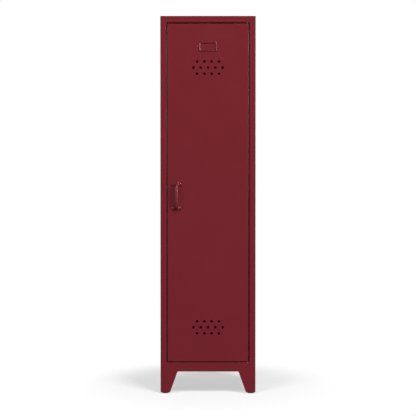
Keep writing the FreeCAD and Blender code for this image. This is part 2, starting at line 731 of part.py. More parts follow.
def handle_screws():
    """Pan-head screws with a cross recess, through the handle's feet and the door's sheet."""
    seat = Y_FRONT - OVAL_THICKNESS
    face = seat - SCREW_HEAD_HEIGHT
    length, half_width, depth = SCREW_RECESS
    solids = []
    for x, z in handle_screw_centres():
        head = dome_head(SCREW_HEAD_RADIUS, SCREW_HEAD_HEIGHT, SCREW_HEAD_EDGE, (x, seat, z), Y_AXIS * -1)
        shank = rod(SCREW_RADIUS, (x, seat, z), OVAL_THICKNESS + SHEET + SCREW_TAIL, Y_AXIS)
        screw = fused([head, shank])
        for reach_x, reach_z in ((length, half_width), (half_width, length)):
            xs = (x - reach_x, x + reach_x)
            screw = screw.cut(block(xs, (face - OVERCUT, face + depth), (z - reach_z, z + reach_z)))
        solids.append(screw)
    return Part.makeCompound(solids)


def handle_nuts():
    """Hexagon nuts behind the door's sheet, one on each handle screw."""
    solids = []
    for x, z in handle_screw_centres():
        nut = hexagon(NUT_FLATS, FreeCAD.Vector(x, Y_FRONT + SHEET, z), Y_AXIS, NUT_HEIGHT)
        solids.append(nut.cut(drill(SCREW_RADIUS + RUNNING_FIT, (x, Y_FRONT, z), Y_AXIS, 2 * NUT_HEIGHT)))
    return Part.makeCompound(solids)


def label_holder():
    """A pressed card frame, open behind and along its top so that a card slides in, with two ears."""
    half_width, half_height = LABEL_SIZE[0] / 2, LABEL_SIZE[1] / 2
    low, high = LABEL_HEIGHT - half_height, LABEL_HEIGHT + half_height
    front = Y_FRONT - LABEL_PROUD
    frame = rounded_prism(half_width, (low, high), (front, Y_FRONT), LABEL_CORNER)
    frame = rounded(frame, LABEL_EDGE, lambda e: e.BoundBox.YMax < front + NEAR)
    pocket = block(
        (SHEET - half_width, half_width - SHEET),
        (front + SHEET, Y_FRONT + OVERCUT),
        (low + SHEET, high + OVERCUT),
    )
    window = rounded_prism(
        half_width - LABEL_BAR,
        (low + LABEL_BAR, high - LABEL_BAR),
        (front - OVERCUT, Y_FRONT),
        LABEL_CORNER / 2,
    )
    pieces = [frame.cut(pocket).cut(window)]
    for x, z in label_rivet_centres():
        inner_x = math.copysign(half_width - SHEET, x)
        ys = (Y_FRONT - SHEET, Y_FRONT)
        pieces.append(block((inner_x, x), ys, (z - LABEL_EAR_RADIUS, z + LABEL_EAR_RADIUS)))
        pieces.append(rod(LABEL_EAR_RADIUS, (x, ys[0], z), SHEET, Y_AXIS))
    holder = fused(pieces)
    for x, z in label_rivet_centres():
        holder = holder.cut(drill(RIVET_RADIUS + LOOSE_FIT, (x, Y_FRONT, z), Y_AXIS))
    return holder


def rivet(seat, axis, grip):
    """A dome-headed rivet: its head stands on the seat along the axis, its tail is past the grip."""
    head = dome_head(RIVET_HEAD_RADIUS, RIVET_HEAD_HEIGHT, RIVET_HEAD_EDGE, seat, axis)
    shank = rod(RIVET_RADIUS, seat, grip, axis * -1)
    tail_seat = FreeCAD.Vector(*seat) - axis * grip
    tail = Part.makeCylinder(RIVET_RADIUS + RIVET_TAIL, RIVET_TAIL, tail_seat, axis * -1)
    return fused([head, shank, tail])


def label_rivets():
    """The two rivets through the card frame's ears."""
    seats = [(x, Y_FRONT - SHEET, z) for x, z in label_rivet_centres()]
    return Part.makeCompound([rivet(seat, Y_AXIS * -1, 2 * SHEET) for seat in seats])


# The magnetic catch


def strike_plate():
    """A steel plate on the back of the door's hem, which the magnet pulls on."""
    left = strike_rivet_centres()[0][0] - 2 * RIVET_RADIUS
    plate = block(
        (left, left + STRIKE_WIDTH),
        (DOOR_BACK, DOOR_BACK + STRIKE_THICKNESS),
        (CATCH_HEIGHT - STRIKE_HALF_HEIGHT, CATCH_HEIGHT + STRIKE_HALF_HEIGHT),
    )
    plate = rounded(plate, STRIKE_CORNER, lambda e: runs_along(e, Y_AXIS))
    for x, z in strike_rivet_centres():
        plate = plate.cut(drill(RIVET_RADIUS + LOOSE_FIT, (x, DOOR_BACK, z), Y_AXIS))
    return plate


def strike_rivets():
    """The strike plate's two rivets, flush with the plate."""
    solids = []
    for x, z in strike_rivet_centres():
        inside = DOOR_BACK - SHEET
        shank = rod(RIVET_RADIUS, (x, inside, z), SHEET + STRIKE_THICKNESS, Y_AXIS)
        tail = rod(RIVET_RADIUS + RIVET_TAIL, (x, inside, z), RIVET_TAIL, Y_AXIS * -1)
        solids.append(fused([shank, tail]))
    return Part.makeCompound(solids)


def magnetic_catch():
    """The catch behind the latch stop: bracket, moulded case, magnet, two pole plates and screws."""
    x = -OPEN_HALF + STOP_OVERLAP + CATCH_SHEET
    face = DOOR_BACK + STRIKE_THICKNESS + AIR_GAP
    low, high = CATCH_HEIGHT - CASE_HALF_HEIGHT, CATCH_HEIGHT + CASE_HALF_HEIGHT
    back = STOP_Y + SHEET
    lip_zs = (low - CATCH_LIP, high + CATCH_LIP)
    bracket = fused(
        [
            block((x, -OPEN_HALF), (back, back + CATCH_SHEET), lip_zs),
            block((x - CATCH_SHEET, x), (back, back + CATCH_LEG), lip_zs),
        ]
    )
    case = block((x, x + CASE_WIDTH), (face + CASE_SETBACK, face + CASE_DEPTH), (low, high))
    case = rounded(case, CASE_CORNER, lambda e: runs_along(e, Y_AXIS))
    bracket = bracket.cut(block((x, x + CASE_WIDTH), (back, face + CASE_DEPTH), lip_zs))
    inner_left, inner_right = x + CASE_WALL, x + CASE_WIDTH - CASE_WALL
    inner_zs = (low + CASE_END, high - CASE_END)
    case = case.cut(block((inner_left, inner_right), (face, face + MAGNET_DEPTH + CATCH_PLAY), inner_zs))
    stack_zs = (inner_zs[0] + CATCH_PLAY, inner_zs[1] - CATCH_PLAY)
    left_pole = (inner_left + CATCH_PLAY, inner_left + CATCH_PLAY + POLE_THICKNESS)
    right_pole = (inner_right - CATCH_PLAY - POLE_THICKNESS, inner_right - CATCH_PLAY)
    poles = [block(xs, (face, face + MAGNET_DEPTH), stack_zs) for xs in (left_pole, right_pole)]
    magnet_xs = (left_pole[1] + CATCH_PLAY, right_pole[0] - CATCH_PLAY)
    magnet = block(magnet_xs, (face + CASE_SETBACK, face + MAGNET_DEPTH), stack_zs)
    screws = []
    for z in (low + CATCH_SCREW_IN, high - CATCH_SCREW_IN):
        seat = (x - CATCH_SHEET, face + CATCH_SCREW_SETBACK, z)
        bore = drill(RIVET_RADIUS + LOOSE_FIT, seat, X_AXIS, CATCH_SCREW_LENGTH + CATCH_PLAY)
        bracket = bracket.cut(bore)
        case = case.cut(bore)
        head = dome_head(RIVET_HEAD_RADIUS, RIVET_HEAD_HEIGHT, RIVET_HEAD_EDGE, seat, X_AXIS * -1)
        screws.append(fused([head, rod(RIVET_RADIUS, seat, CATCH_SCREW_LENGTH, X_AXIS)]))
    return {
        "catch_bracket": bracket,
        "catch_case": case,
        "catch_magnet": magnet,
        "catch_pole_plates": Part.makeCompound(poles),
        "catch_screws": Part.makeCompound(screws),
    }


# Shelves, uprights and the coat rail


def slot_height(index):
    """Height of one slot's middle, counted up an upright from its foot."""
    return UPRIGHT_LOW + SLOT_PITCH * (index + 0.5)


def ledge_height(index):
    """Height of the ledge of a clip that hangs in a slot."""
    return slot_height(index) + LEDGE_OVER_SLOT


def shelf_upright(side, y):
    """A slotted channel up the inside of a side panel, open towards the sheet."""
    half = UPRIGHT_WIDTH / 2
    layers = []
    for inset, overcut in ((0, 0), (SHEET, OVERCUT)):
        layer = block(
            (side * (UPRIGHT_FACE + inset), side * (WALL_INSIDE + overcut)),
            (y - half + inset, y + half - inset),
            (UPRIGHT_LOW - overcut, UPRIGHT_HIGH + overcut),
        )
        layers.append(
            rounded(
                layer,
                FOLD - inset,
                lambda e: runs_along(e, Z_AXIS) and abs(e.CenterOfMass.x) < WALL_INSIDE - NEAR,
            )
        )
    slots = []
    for index in range(int((UPRIGHT_HIGH - UPRIGHT_LOW) / SLOT_PITCH)):
        z = slot_height(index)
        slots.append(
            block(
                (side * (UPRIGHT_FACE - OVERCUT), side * (UPRIGHT_FACE + 2 * SHEET)),
                (y - SLOT_SIZE[0] / 2, y + SLOT_SIZE[0] / 2),
                (z - SLOT_SIZE[1] / 2, z + SLOT_SIZE[1] / 2),
            )
        )
    return layers[0].cut(layers[1]).cut(Part.makeCompound(slots))


def shelf_clips(index):
    """Four folded clips that hook into the uprights and carry a shelf's edge on their ledges."""
    ledge = ledge_height(index)
    slot_low = slot_height(index) - SLOT_SIZE[1] / 2
    solids = []
    for side in SIDES.values():
        for y in UPRIGHT_YS.values():
            face = side * UPRIGHT_FACE
            ys = (y - CLIP_HALF_WIDTH, y + CLIP_HALF_WIDTH)
            plate_xs = (face, face - side * CLIP_THICKNESS)
            tongue_half = SLOT_SIZE[0] / 2 - TONGUE_PLAY
            tongue = block(
                (face, face + side * TONGUE_REACH),
                (y - tongue_half, y + tongue_half),
                (slot_low + TONGUE_PLAY, slot_low + SLOT_SIZE[1] / 2),
            )
            plate = block(plate_xs, ys, (ledge - CLIP_DROP, ledge + CLIP_RISE))
            rest = block((face, face - side * CLIP_LEDGE), ys, (ledge - CLIP_THICKNESS, ledge))
            solids.append(fused([plate, rest, tongue]))
    return Part.makeCompound(solids)


def hanger_rivet_centres():
    """Places of the four rivets that hold the rail hangers to the hat shelf."""
    return [(x, y + HANGER_RIVET_Y) for y in HANGER_YS.values() for x in (-HANGER_RIVET_X, HANGER_RIVET_X)]


def shelf(index, holes=()):
    """A shelf: a sheet with four edges folded down, standing on its clips."""
    top = ledge_height(index) + SHELF_FLANGE
    sheet = tray((-SHELF_HALF, SHELF_HALF), SHELF_YS, top, SHELF_FLANGE)
    for x, y in holes:
        sheet = sheet.cut(drill(RIVET_RADIUS + LOOSE_FIT, (x, y, top), Z_AXIS))
    return sheet


def hat_shelf_top():
    """Height of the hat shelf's upper face."""
    return ledge_height(HAT_SHELF_SLOT) + SHELF_FLANGE


def rail_height():
    """Height of the coat rail's centre line."""
    return hat_shelf_top() - SHEET - RAIL_DROP


def coat_rail():
    """A steel tube from front to back under the hat shelf."""
    start = (0, RAIL_ENDS[0], rail_height())
    tube = rod(RAIL_RADIUS, start, RAIL_LENGTH, Y_AXIS)
    return tube.cut(drill(RAIL_RADIUS - RAIL_WALL, start, Y_AXIS, RAIL_LENGTH + OVERCUT))


def rail_bracket(y):
    """A folded hanger: a flange under the shelf and a plate down to a ring round the rail."""
    top = hat_shelf_top() - SHEET
    z = rail_height()
    front = y - HANGER_THICKNESS / 2
    xs = (-HANGER_HALF_WIDTH, HANGER_HALF_WIDTH)
    flange = block(xs, (front, front + HANGER_FLANGE), (top - HANGER_THICKNESS, top))
    plate = block(xs, (front, front + HANGER_THICKNESS), (z, top))
    ring = rod(HANGER_HALF_WIDTH, (0, front, z), HANGER_THICKNESS, Y_AXIS)
    free_edge = y + HANGER_RIVET_Y
    flange = rounded(
        flange,
        HANGER_CORNER,
        lambda e: runs_along(e, Z_AXIS) and e.CenterOfMass.y > free_edge,
    )
    hanger = fused([flange, plate, ring])
    hanger = rounded(
        hanger,
        HANGER_THICKNESS,
        lambda e: runs_along(e, X_AXIS) and e.CenterOfMass.y < y and e.CenterOfMass.z > top - NEAR,
    )
    hanger = hanger.cut(drill(RAIL_RADIUS + LOOSE_FIT, (0, y, z), Y_AXIS))
    for rivet_x, rivet_y in hanger_rivet_centres():
        hanger = hanger.cut(drill(RIVET_RADIUS + LOOSE_FIT, (rivet_x, rivet_y, top), Z_AXIS))
    return hanger


def rail_rivets():
    """Rivets through the hat shelf and the rail hangers, heads up."""
    seats = [(x, y, hat_shelf_top()) for x, y in hanger_rivet_centres()]
    return Part.makeCompound([rivet(seat, Z_AXIS, SHEET + HANGER_THICKNESS) for seat in seats])


# The whole locker


def locker():
    """Every piece of the locker by its node name."""
    skin = cabinet_skin()
    top_bracket = OPEN_HIGH + SHEET
    bottom_bracket = OPEN_LOW - SHEET - PIVOT_PLATE
    nodes = {
        "front_frame": front_frame(skin),
        "back_panel": back_panel(skin),
        "top_panel": top_panel(skin),
        "floor_panel": floor_panel(),
        "door_buffers": door_buffers(),
        "door_panel": door_panel(),
        "door_stiffener": door_stiffener(),
        "top_pivot_bracket": pivot_bracket(top_bracket),
        "bottom_pivot_bracket": pivot_bracket(bottom_bracket),
        "top_pivot_pin": top_pivot_pin(top_bracket + PIVOT_PLATE),
        "bottom_pivot_pin": bottom_pivot_pin(bottom_bracket),
        "top_pivot_plate": pivot_plate(DOOR_HIGH - SHEET, -1),
        "bottom_pivot_plate": pivot_plate(DOOR_LOW + SHEET, 1),
        "top_pivot_bush": pivot_bush(DOOR_HIGH, -1),
        "bottom_pivot_bush": pivot_bush(DOOR_LOW, 1),
        "handle": handle(),
        "handle_screws": handle_screws(),
        "handle_nuts": handle_nuts(),
        "label_holder": label_holder(),
        "label_rivets": label_rivets(),
        "strike_plate": strike_plate(),
        "strike_rivets": strike_rivets(),
        "hat_shelf": shelf(HAT_SHELF_SLOT, hanger_rivet_centres()),
        "lower_shelf": shelf(LOWER_SHELF_SLOT),
        "hat_shelf_clips": shelf_clips(HAT_SHELF_SLOT),
        "lower_shelf_clips": shelf_clips(LOWER_SHELF_SLOT),
        "coat_rail": coat_rail(),
        "rail_rivets": rail_rivets(),
    }
    nodes.update(door_stops())
    nodes.update(magnetic_catch())
    for name, side in SIDES.items():
        nodes[name + "_side_panel"] = side_panel(skin, side)
        for place, y in UPRIGHT_YS.items():
            nodes["shelf_upright_" + place + "_" + name] = shelf_upright(side, y)
    for place, y in HANGER_YS.items():
        nodes["rail_bracket_" + place] = rail_bracket(y)
    for corner, centre in FOOT_CENTRES.items():
        nodes["foot_plate_" + corner] = foot_plate(centre)
        nodes["foot_pad_" + corner] = foot_pad(centre)
        nodes["foot_stud_" + corner] = foot_stud(centre)
    return nodes


def main():
    """Write one STEP file for each piece and print its size."""
    os.makedirs("parts", exist_ok=True)
    nodes = locker()
    for name, shape in sorted(nodes.items()):
        shape.exportStep("parts/" + name + ".step")
        print(name, "valid" if shape.isValid() else "NOT VALID", len(shape.Solids), round(shape.Volume))
    print(len(nodes), "nodes")


main()
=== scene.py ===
# %% [markdown]
# A narrow steel locker: one full-height door, a bow handle, an empty card frame, two sets of punched
# vents and four tapered legs, all in one dark red coat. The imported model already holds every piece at
# its real size. This lesson gives each piece its finish, and remakes the few whose cast, rolled or
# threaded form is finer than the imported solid: the handle, the card frame, the fasteners and the feet.

# %% Load the frame
import math

import bmesh
import bpy
from mathutils import Matrix, Vector


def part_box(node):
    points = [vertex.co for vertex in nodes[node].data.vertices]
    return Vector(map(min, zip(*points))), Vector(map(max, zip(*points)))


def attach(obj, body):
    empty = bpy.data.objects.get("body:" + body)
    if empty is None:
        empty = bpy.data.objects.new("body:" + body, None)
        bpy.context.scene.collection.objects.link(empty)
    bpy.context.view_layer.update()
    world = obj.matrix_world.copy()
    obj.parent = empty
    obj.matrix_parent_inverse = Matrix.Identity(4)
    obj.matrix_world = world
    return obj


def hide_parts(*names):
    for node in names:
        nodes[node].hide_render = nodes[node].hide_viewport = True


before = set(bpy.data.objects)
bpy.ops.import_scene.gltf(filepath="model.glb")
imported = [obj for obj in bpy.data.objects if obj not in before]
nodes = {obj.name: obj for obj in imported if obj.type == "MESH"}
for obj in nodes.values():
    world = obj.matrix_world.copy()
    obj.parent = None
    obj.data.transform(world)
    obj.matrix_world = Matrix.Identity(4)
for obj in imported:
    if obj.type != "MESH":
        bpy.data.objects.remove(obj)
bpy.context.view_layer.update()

MM = 0.001

# %% [markdown]
# The camera comes first, because every later choice is judged through it. The picture is a straight
# view of the front. The handle's bar, which stands well off the door, hardly slides sideways against
# its own feet, so the lens is long and stands far back, nearly five metres away. The verticals lean
# together a little towards the floor: the camera is a metre up and looks down by one degree.

# %% Camera
LENS_MM = 84.2
SENSOR_MM = 36.0
CAMERA_TO_FRONT = 4.7
CAMERA_HEIGHT = 0.990
CAMERA_PITCH = math.radians(1.1)

front_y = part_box("front_frame")[0].y
camera_data = bpy.data.cameras.new("front_camera")
camera_data.lens = LENS_MM
camera_data.sensor_width = SENSOR_MM
camera = bpy.data.objects.new("front_camera", camera_data)
camera.location = (0.0, front_y - CAMERA_TO_FRONT, CAMERA_HEIGHT)
camera.rotation_euler = (math.pi / 2 - CAMERA_PITCH, 0.0, 0.0)
bpy.context.collection.objects.link(camera)
bpy.context.scene.camera = camera
print("camera at", tuple(round(v, 3) for v in camera.location))

# %% [markdown]
# A few small helpers serve every finish. Colours are written as the sRGB hex values that a paint chart
# gives, and Blender mixes light in linear values, so one function converts them. Node trees are built
# by one function too: it adds a node, sets its options, and fills each input with a value or a link.
# The rest name what a finish is made of: noise, a colour or a gloss that varies with it, and a bump. A
# material starts from object coordinates, which are real metres on this model, so the scale of a
# pattern is simply one over its real size.

# %% Colour and node helpers
def linear(hex_colour):
    """An sRGB hex colour as linear red, green, blue and an alpha of one."""
    channels = [int(hex_colour[i:i + 2], 16) / 255 for i in (1, 3, 5)]
    return tuple(c / 12.92 if c <= 0.04045 else ((c + 0.055) / 1.055) ** 2.4 for c in channels) + (1.0,)


def fill(tree, node, inputs):
    """Give each named input of a node a value, or a link from a socket."""
    for name, value in inputs.items():
        if isinstance(value, bpy.types.NodeSocket):
            tree.links.new(value, node.inputs[name])
        else:
            node.inputs[name].default_value = value


def add_node(tree, kind, inputs=None, **options):
    """Add a node, set its options and fill its inputs."""
    node = tree.nodes.new(kind)
    for option, value in options.items():
        setattr(node, option, value)
    fill(tree, node, inputs or {})
    return node


def new_material(name):
    """A material with its tree, its surface shader and its object coordinates in metres."""
    material = bpy.data.materials.new(name)
    material.use_nodes = True
    tree = material.node_tree
    shader = tree.nodes["Principled BSDF"]
    place = add_node(tree, "ShaderNodeTexCoord").outputs["Object"]
    return material, tree, shader, place


def noise(tree, place, size, detail):
    """Noise whose features have a real size."""
    values = {"Vector": place, "Scale": 1 / size, "Detail": detail}
    return add_node(tree, "ShaderNodeTexNoise", values).outputs["Fac"]


def stretched_noise(tree, place, size):
    """Noise whose features have a real size of their own along x, y and z."""
    values = {"Vector": place, "Scale": tuple(1 / length for length in size)}
    stretch = add_node(tree, "ShaderNodeMapping", values)
    return noise(tree, stretch.outputs["Vector"], 1.0, 2.0)


def tinted(tree, amount, tones):
    """A colour that runs between two hex tones."""
    values = {0: amount, 6: linear(tones[0]), 7: linear(tones[1])}
    return add_node(tree, "ShaderNodeMix", values, data_type="RGBA").outputs[2]


def ranged(tree, amount, ends):
    """A number that runs between two ends."""
    values = {"Value": amount, "To Min": ends[0], "To Max": ends[1]}
    return add_node(tree, "ShaderNodeMapRange", values).outputs["Result"]


def bumped(tree, height, depth, strength, **below):
    """A normal tilted by a height map of a real depth, on top of another normal where one is given."""
    values = {"Height": height, "Distance": depth, "Strength": strength, **below}
    return add_node(tree, "ShaderNodeBump", values).outputs["Normal"]


finishes = {}
print("mid grey in linear light:", [round(v, 4) for v in linear("#808080")[:3]])

# %% [markdown]
# The coat is a polyester powder, sprayed on dry and melted in an oven. It sets as a thick satin skin
# with a fine ripple that painters call orange peel, and it hides the steel completely. The ripple is
# about 2 mm from crest to crest. At the camera's distance that is finer than a pixel, so it is drawn at
# 4 mm, just coarse enough to break up the gloss. The sheet below is never perfectly flat, which a very
# long, very low bump shows, and the pigment clouds a little over a hand's breadth.

# %% Powder coat
COAT_REDS = ("#6C1620", "#721923")
COAT_CLOUD = 90 * MM
COAT_ROUGHNESS = (0.20, 0.24)
COAT_IOR = 1.5
SHEET_WAVE = 320 * MM
WAVE_DEPTH = 1.2 * MM
WAVE_STRENGTH = 0.4
COAT_RIPPLE = 4 * MM
RIPPLE_DEPTH = 0.12 * MM
RIPPLE_STRENGTH = 0.5


def powder_coat():
    """Wine red satin powder coat on sheet steel: deep even colour, broad soft gloss, fine ripple."""
    material, tree, shader, place = new_material("powder_coat_wine_red")
    cloud = noise(tree, place, COAT_CLOUD, 4.0)
    wave = bumped(tree, noise(tree, place, SHEET_WAVE, 0.0), WAVE_DEPTH, WAVE_STRENGTH)
    ripple = noise(tree, place, COAT_RIPPLE, 1.0)
    fill(tree, shader, {
        "Base Color": tinted(tree, cloud, COAT_REDS),
        "Roughness": ranged(tree, cloud, COAT_ROUGHNESS),
        "Normal": bumped(tree, ripple, RIPPLE_DEPTH, RIPPLE_STRENGTH, Normal=wave),
        "IOR": COAT_IOR,
    })
    return material


finishes["powder_coat"] = powder_coat()
print("made", finishes["powder_coat"].name)

# %% [markdown]
# Brackets, plates, nuts and clips are bright zinc-plated steel. The plating is a few thousandths of a
# millimetre thick and takes on the grain of the rolled strip below it. A clear passivation leaves it
# very slightly blue in one place and straw-coloured in another, in clouds a fingertip wide. The grain is
# a noise stretched along the strip; it is really 0.1 mm wide and is drawn at 0.6 mm so that it shows.

# %% Zinc-plated steel
ZINC_TINTS = ("#B9BDC2", "#C3C0B4")
ZINC_CLOUD = 18 * MM
ZINC_ROUGHNESS = (0.26, 0.42)
ROLL_WIDTH = 0.6 * MM
ROLL_LENGTH = 25 * MM
ROLL_DEPTH = 0.03 * MM
ROLL_STRENGTH = 0.4


def zinc_plate():
    """Zinc-plated steel strip: grey metal with a soft grain, faintly blue and straw-coloured."""
    material, tree, shader, place = new_material("zinc_plated_steel")
    cloud = noise(tree, place, ZINC_CLOUD, 3.0)
    grain = stretched_noise(tree, place, (ROLL_WIDTH, ROLL_WIDTH, ROLL_LENGTH))
    fill(tree, shader, {
        "Base Color": tinted(tree, cloud, ZINC_TINTS),
        "Roughness": ranged(tree, grain, ZINC_ROUGHNESS),
        "Normal": bumped(tree, grain, ROLL_DEPTH, ROLL_STRENGTH),
        "Metallic": 1.0,
    })
    return material


finishes["zinc_plated_steel"] = zinc_plate()
print("made", finishes["zinc_plated_steel"].name)

# %% [markdown]
# The coat rail is drawn steel tube with a thin chrome plate. Chrome is a near mirror, slightly blue, and
# what gives it away as tube is the faint drawing marks along its length and the haze that hangers rub
# into it. Both are a noise stretched along the rail, which runs from front to back.

# %% Chromed tube
CHROME_TINTS = ("#C6CACD", "#D2D4D5")
CHROME_ROUGHNESS = (0.06, 0.16)
DRAW_WIDTH = 0.8 * MM
DRAW_LENGTH = 90 * MM


def chrome_plate():
    """Chromed steel tube: a clear mirror with faint lines along the tube."""
    material, tree, shader, place = new_material("chromed_steel_tube")
    marks = stretched_noise(tree, place, (DRAW_WIDTH, DRAW_LENGTH, DRAW_WIDTH))
    fill(tree, shader, {
        "Base Color": tinted(tree, marks, CHROME_TINTS),
        "Roughness": ranged(tree, marks, CHROME_ROUGHNESS),
        "Metallic": 1.0,
    })
    return material


finishes["chromed_tube"] = chrome_plate()
print("made", finishes["chromed_tube"].name)

# %% [markdown]
# Five small parts are not metal. They share one recipe, because a moulded or pressed surface is always
# the same three things to the eye: two close tones that cloud into each other, a gloss that varies with
# them, and a fine grain from the mould or the powder it was pressed from. What differs is the colour,
# the gloss and the size of the grain, so each is one call with its own real values.

# %% Moulded finishes
MOULD_CLOUD = 12 * MM
MOULD_STRENGTH = 0.6


def moulded(name, tones, roughness, index, grain, depth):
    """A moulded or pressed material: two tones, a varying gloss, and a grain of the given size."""
    material, tree, shader, place = new_material(name)
    cloud = noise(tree, place, MOULD_CLOUD, 3.0)
    speck = noise(tree, place, grain, 1.0)
    fill(tree, shader, {
        "Base Color": tinted(tree, cloud, tones),
        "Roughness": ranged(tree, cloud, roughness),
        "Normal": bumped(tree, speck, depth, MOULD_STRENGTH),
        "IOR": index,
    })
    return material


# Polypropylene foot: deep black, half matt, with the fine sparked grain of its mould.
finishes["black_pad"] = moulded(
    "black_polypropylene", ("#131314", "#1C1C1D"), (0.46, 0.58), 1.49, 0.9 * MM, 0.05 * MM
)
# Nitrile rubber buffer: black that has bloomed slightly grey, almost without gloss.
finishes["black_rubber"] = moulded(
    "black_nitrile_rubber", ("#151515", "#202020"), (0.72, 0.88), 1.52, 0.7 * MM, 0.04 * MM
)
# ABS catch case: mid grey, satin, with an even spark grain.
finishes["grey_case"] = moulded(
    "grey_abs", ("#868783", "#91928E"), (0.42, 0.52), 1.53, 0.8 * MM, 0.05 * MM
)
# Sintered ferrite magnet: charcoal, dry, with the coarse speckle of pressed powder.
finishes["ferrite"] = moulded(
    "sintered_ferrite", ("#2A2928", "#383634"), (0.58, 0.74), 2.3, 0.5 * MM, 0.06 * MM
)
# Black nylon bush, with a waxy satin gloss. Its black also stands in for the shade in the gap at the
# door's corner: partly the bush's own colour, partly painted shade.
finishes["black_nylon"] = moulded(
    "black_nylon", ("#151515", "#1B1B1B"), (0.38, 0.48), 1.53, 1.0 * MM, 0.03 * MM
)
print("finishes:", sorted(finishes))

# %% [markdown]
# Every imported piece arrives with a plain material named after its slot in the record. The slot decides
# its finish, so one loop dresses the whole locker, inside and out.

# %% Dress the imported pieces
for node in nodes.values():
    node.data.materials[0] = finishes[node.data.materials[0].name]
print("dressed", len(nodes), "packed pieces")

# %% [markdown]
# The pieces that are remade here all come from one idea: a row of rings, skinned with quads. A turned
# screw is a row of circles, the handle is a row of ovals that follow its bow, and the card frame is one
# rolled section carried round a rectangle. So the next cell holds a ring, a skin, and the tidying that
# every mesh gets: doubles merged, faces turned outwards, and shading that is smooth across soft bends
# and sharp at real edges.

# %% Mesh helpers
SMOOTH_BELOW = math.radians(32)
MERGE_DISTANCE = 0.002 * MM
TURN_POINTS = 32
X_AXIS = Vector((1, 0, 0))
Y_AXIS = Vector((0, 1, 0))
Z_AXIS = Vector((0, 0, 1))


def tidied(mesh):
    """Merge doubles, point every face outwards, and shade smooth across soft bends."""
    shape = bmesh.new()
    shape.from_mesh(mesh)
    bmesh.ops.remove_doubles(shape, verts=shape.verts, dist=MERGE_DISTANCE)
    bmesh.ops.recalc_face_normals(shape, faces=shape.faces)
    shape.to_mesh(mesh)
    shape.free()
    mesh.shade_smooth()
    mesh.set_sharp_from_angle(angle=SMOOTH_BELOW)
    return mesh


def skin(name, rings, closed=False):
    """Quads between equal rings of points; the two ends are capped unless the last meets the first."""
    size = len(rings[0])
    spans = len(rings) if closed else len(rings) - 1
    faces = []
    for row in range(spans):
        near, far = row * size, (row + 1) % len(rings) * size
        for i in range(size):
            j = (i + 1) % size
            faces.append((near + i, near + j, far + j, far + i))
    if not closed:
        faces.append(tuple(range(size)))
        faces.append(tuple(range(spans * size, (spans + 1) * size)))
    mesh = bpy.data.meshes.new(name)
    mesh.from_pydata([point for ring in rings for point in ring], [], faces)
    return tidied(mesh)


def oval(centre, across, along, half_across, half_along, count):
    """A ring of points round a centre, in the plane of two directions."""
    points = []
    for i in range(count):
        turn = math.tau * i / count
        aside = across * half_across * math.cos(turn)
        points.append(centre + aside + along * half_along * math.sin(turn))
    return points


def turned(name, profile):
    """A piece turned about the z axis from (radius, height) pairs, capped at both ends."""
    return skin(name, [oval(Z_AXIS * z, X_AXIS, Y_AXIS, r, r, TURN_POINTS) for r, z in profile])


def joined(name, meshes):
    """Several meshes as one."""
    shape = bmesh.new()
    for mesh in meshes:
        shape.from_mesh(mesh)
    whole = bpy.data.meshes.new(name)
    shape.to_mesh(whole)
    shape.free()
    return tidied(whole)


print("smooth below", round(math.degrees(SMOOTH_BELOW)), "degrees")

# %% [markdown]
# Holes and recesses are cut the way a drill or a punch cuts them: by taking a second shape away. A
# boolean modifier does that exactly, and evaluating the object straight afterwards turns the result
# into a plain mesh. A finished piece then rides on the body that carries it, takes the slot of its
# finish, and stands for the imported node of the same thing.

# %% Cutting and placing
def evaluated_mesh(piece):
    """The plain mesh that an object's modifiers make."""
    return bpy.data.meshes.new_from_object(piece.evaluated_get(bpy.context.evaluated_depsgraph_get()))


def combined(mesh, tool, operation):
    """The exact boolean of two closed meshes."""
    work = bpy.data.objects.new(mesh.name, mesh)
    other = bpy.data.objects.new(tool.name, tool)
    for piece in (work, other):
        bpy.context.collection.objects.link(piece)
    step = work.modifiers.new(operation.lower(), "BOOLEAN")
    step.operation = operation
    step.object = other
    result = evaluated_mesh(work)
    result.name = mesh.name
    for piece in (work, other):
        bpy.data.objects.remove(piece)
    return tidied(result)


def add_piece(name, mesh, body, slot, *replaced):
    """Put a finished mesh on its body, with its finish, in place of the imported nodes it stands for."""
    piece = bpy.data.objects.new(name, mesh)
    bpy.context.collection.objects.link(piece)
    mesh.materials.clear()
    mesh.materials.append(finishes[slot])
    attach(piece, body)
    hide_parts(*replaced)
    print(name, "on", body, "with", len(mesh.polygons), "faces")
    return piece


# %% [markdown]
# The handle is a zinc casting: a round bow that grows out of two oval feet. A casting has no hard inner
# corners, because the metal would tear there as it cools, so the bow flares into each foot. Modelled as
# rings, the foot's edge, the flare and the bend are one continuous skin: ovals climb the foot's rim,
# step in to the neck, and then follow the bow to its middle. The lower half is the mirror of the upper.

# %% Handle rings
RING_POINTS = 48
FOOT_RISE = 11.8 * MM
FOOT_THICKNESS = 5.5 * MM
FOOT_EDGE = 5.0 * MM
GRIP_RADIUS = 8.0 * MM
FLARE = 6.0 * MM
TIGHT_BEND = 17.0 * MM
TIGHT_TURN = math.radians(60)
EASY_BEND = 55.0 * MM
EDGE_STEPS = 6
FLARE_STEPS = 6
BEND_STEPS = 12

handle_low, handle_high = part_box("handle")
handle_middle = (handle_low + handle_high) / 2
foot_reach = (handle_high.x - handle_low.x) / 2
foot_z = handle_high.z - FOOT_RISE
bend_depth = TIGHT_BEND * math.sin(TIGHT_TURN) + EASY_BEND * (1 - math.sin(TIGHT_TURN))
bend_start = handle_high.y - handle_low.y - GRIP_RADIUS - bend_depth


def divided(turn, steps):
    """Angles that divide a turn evenly, with both ends."""
    return [turn * i / steps for i in range(steps + 1)]


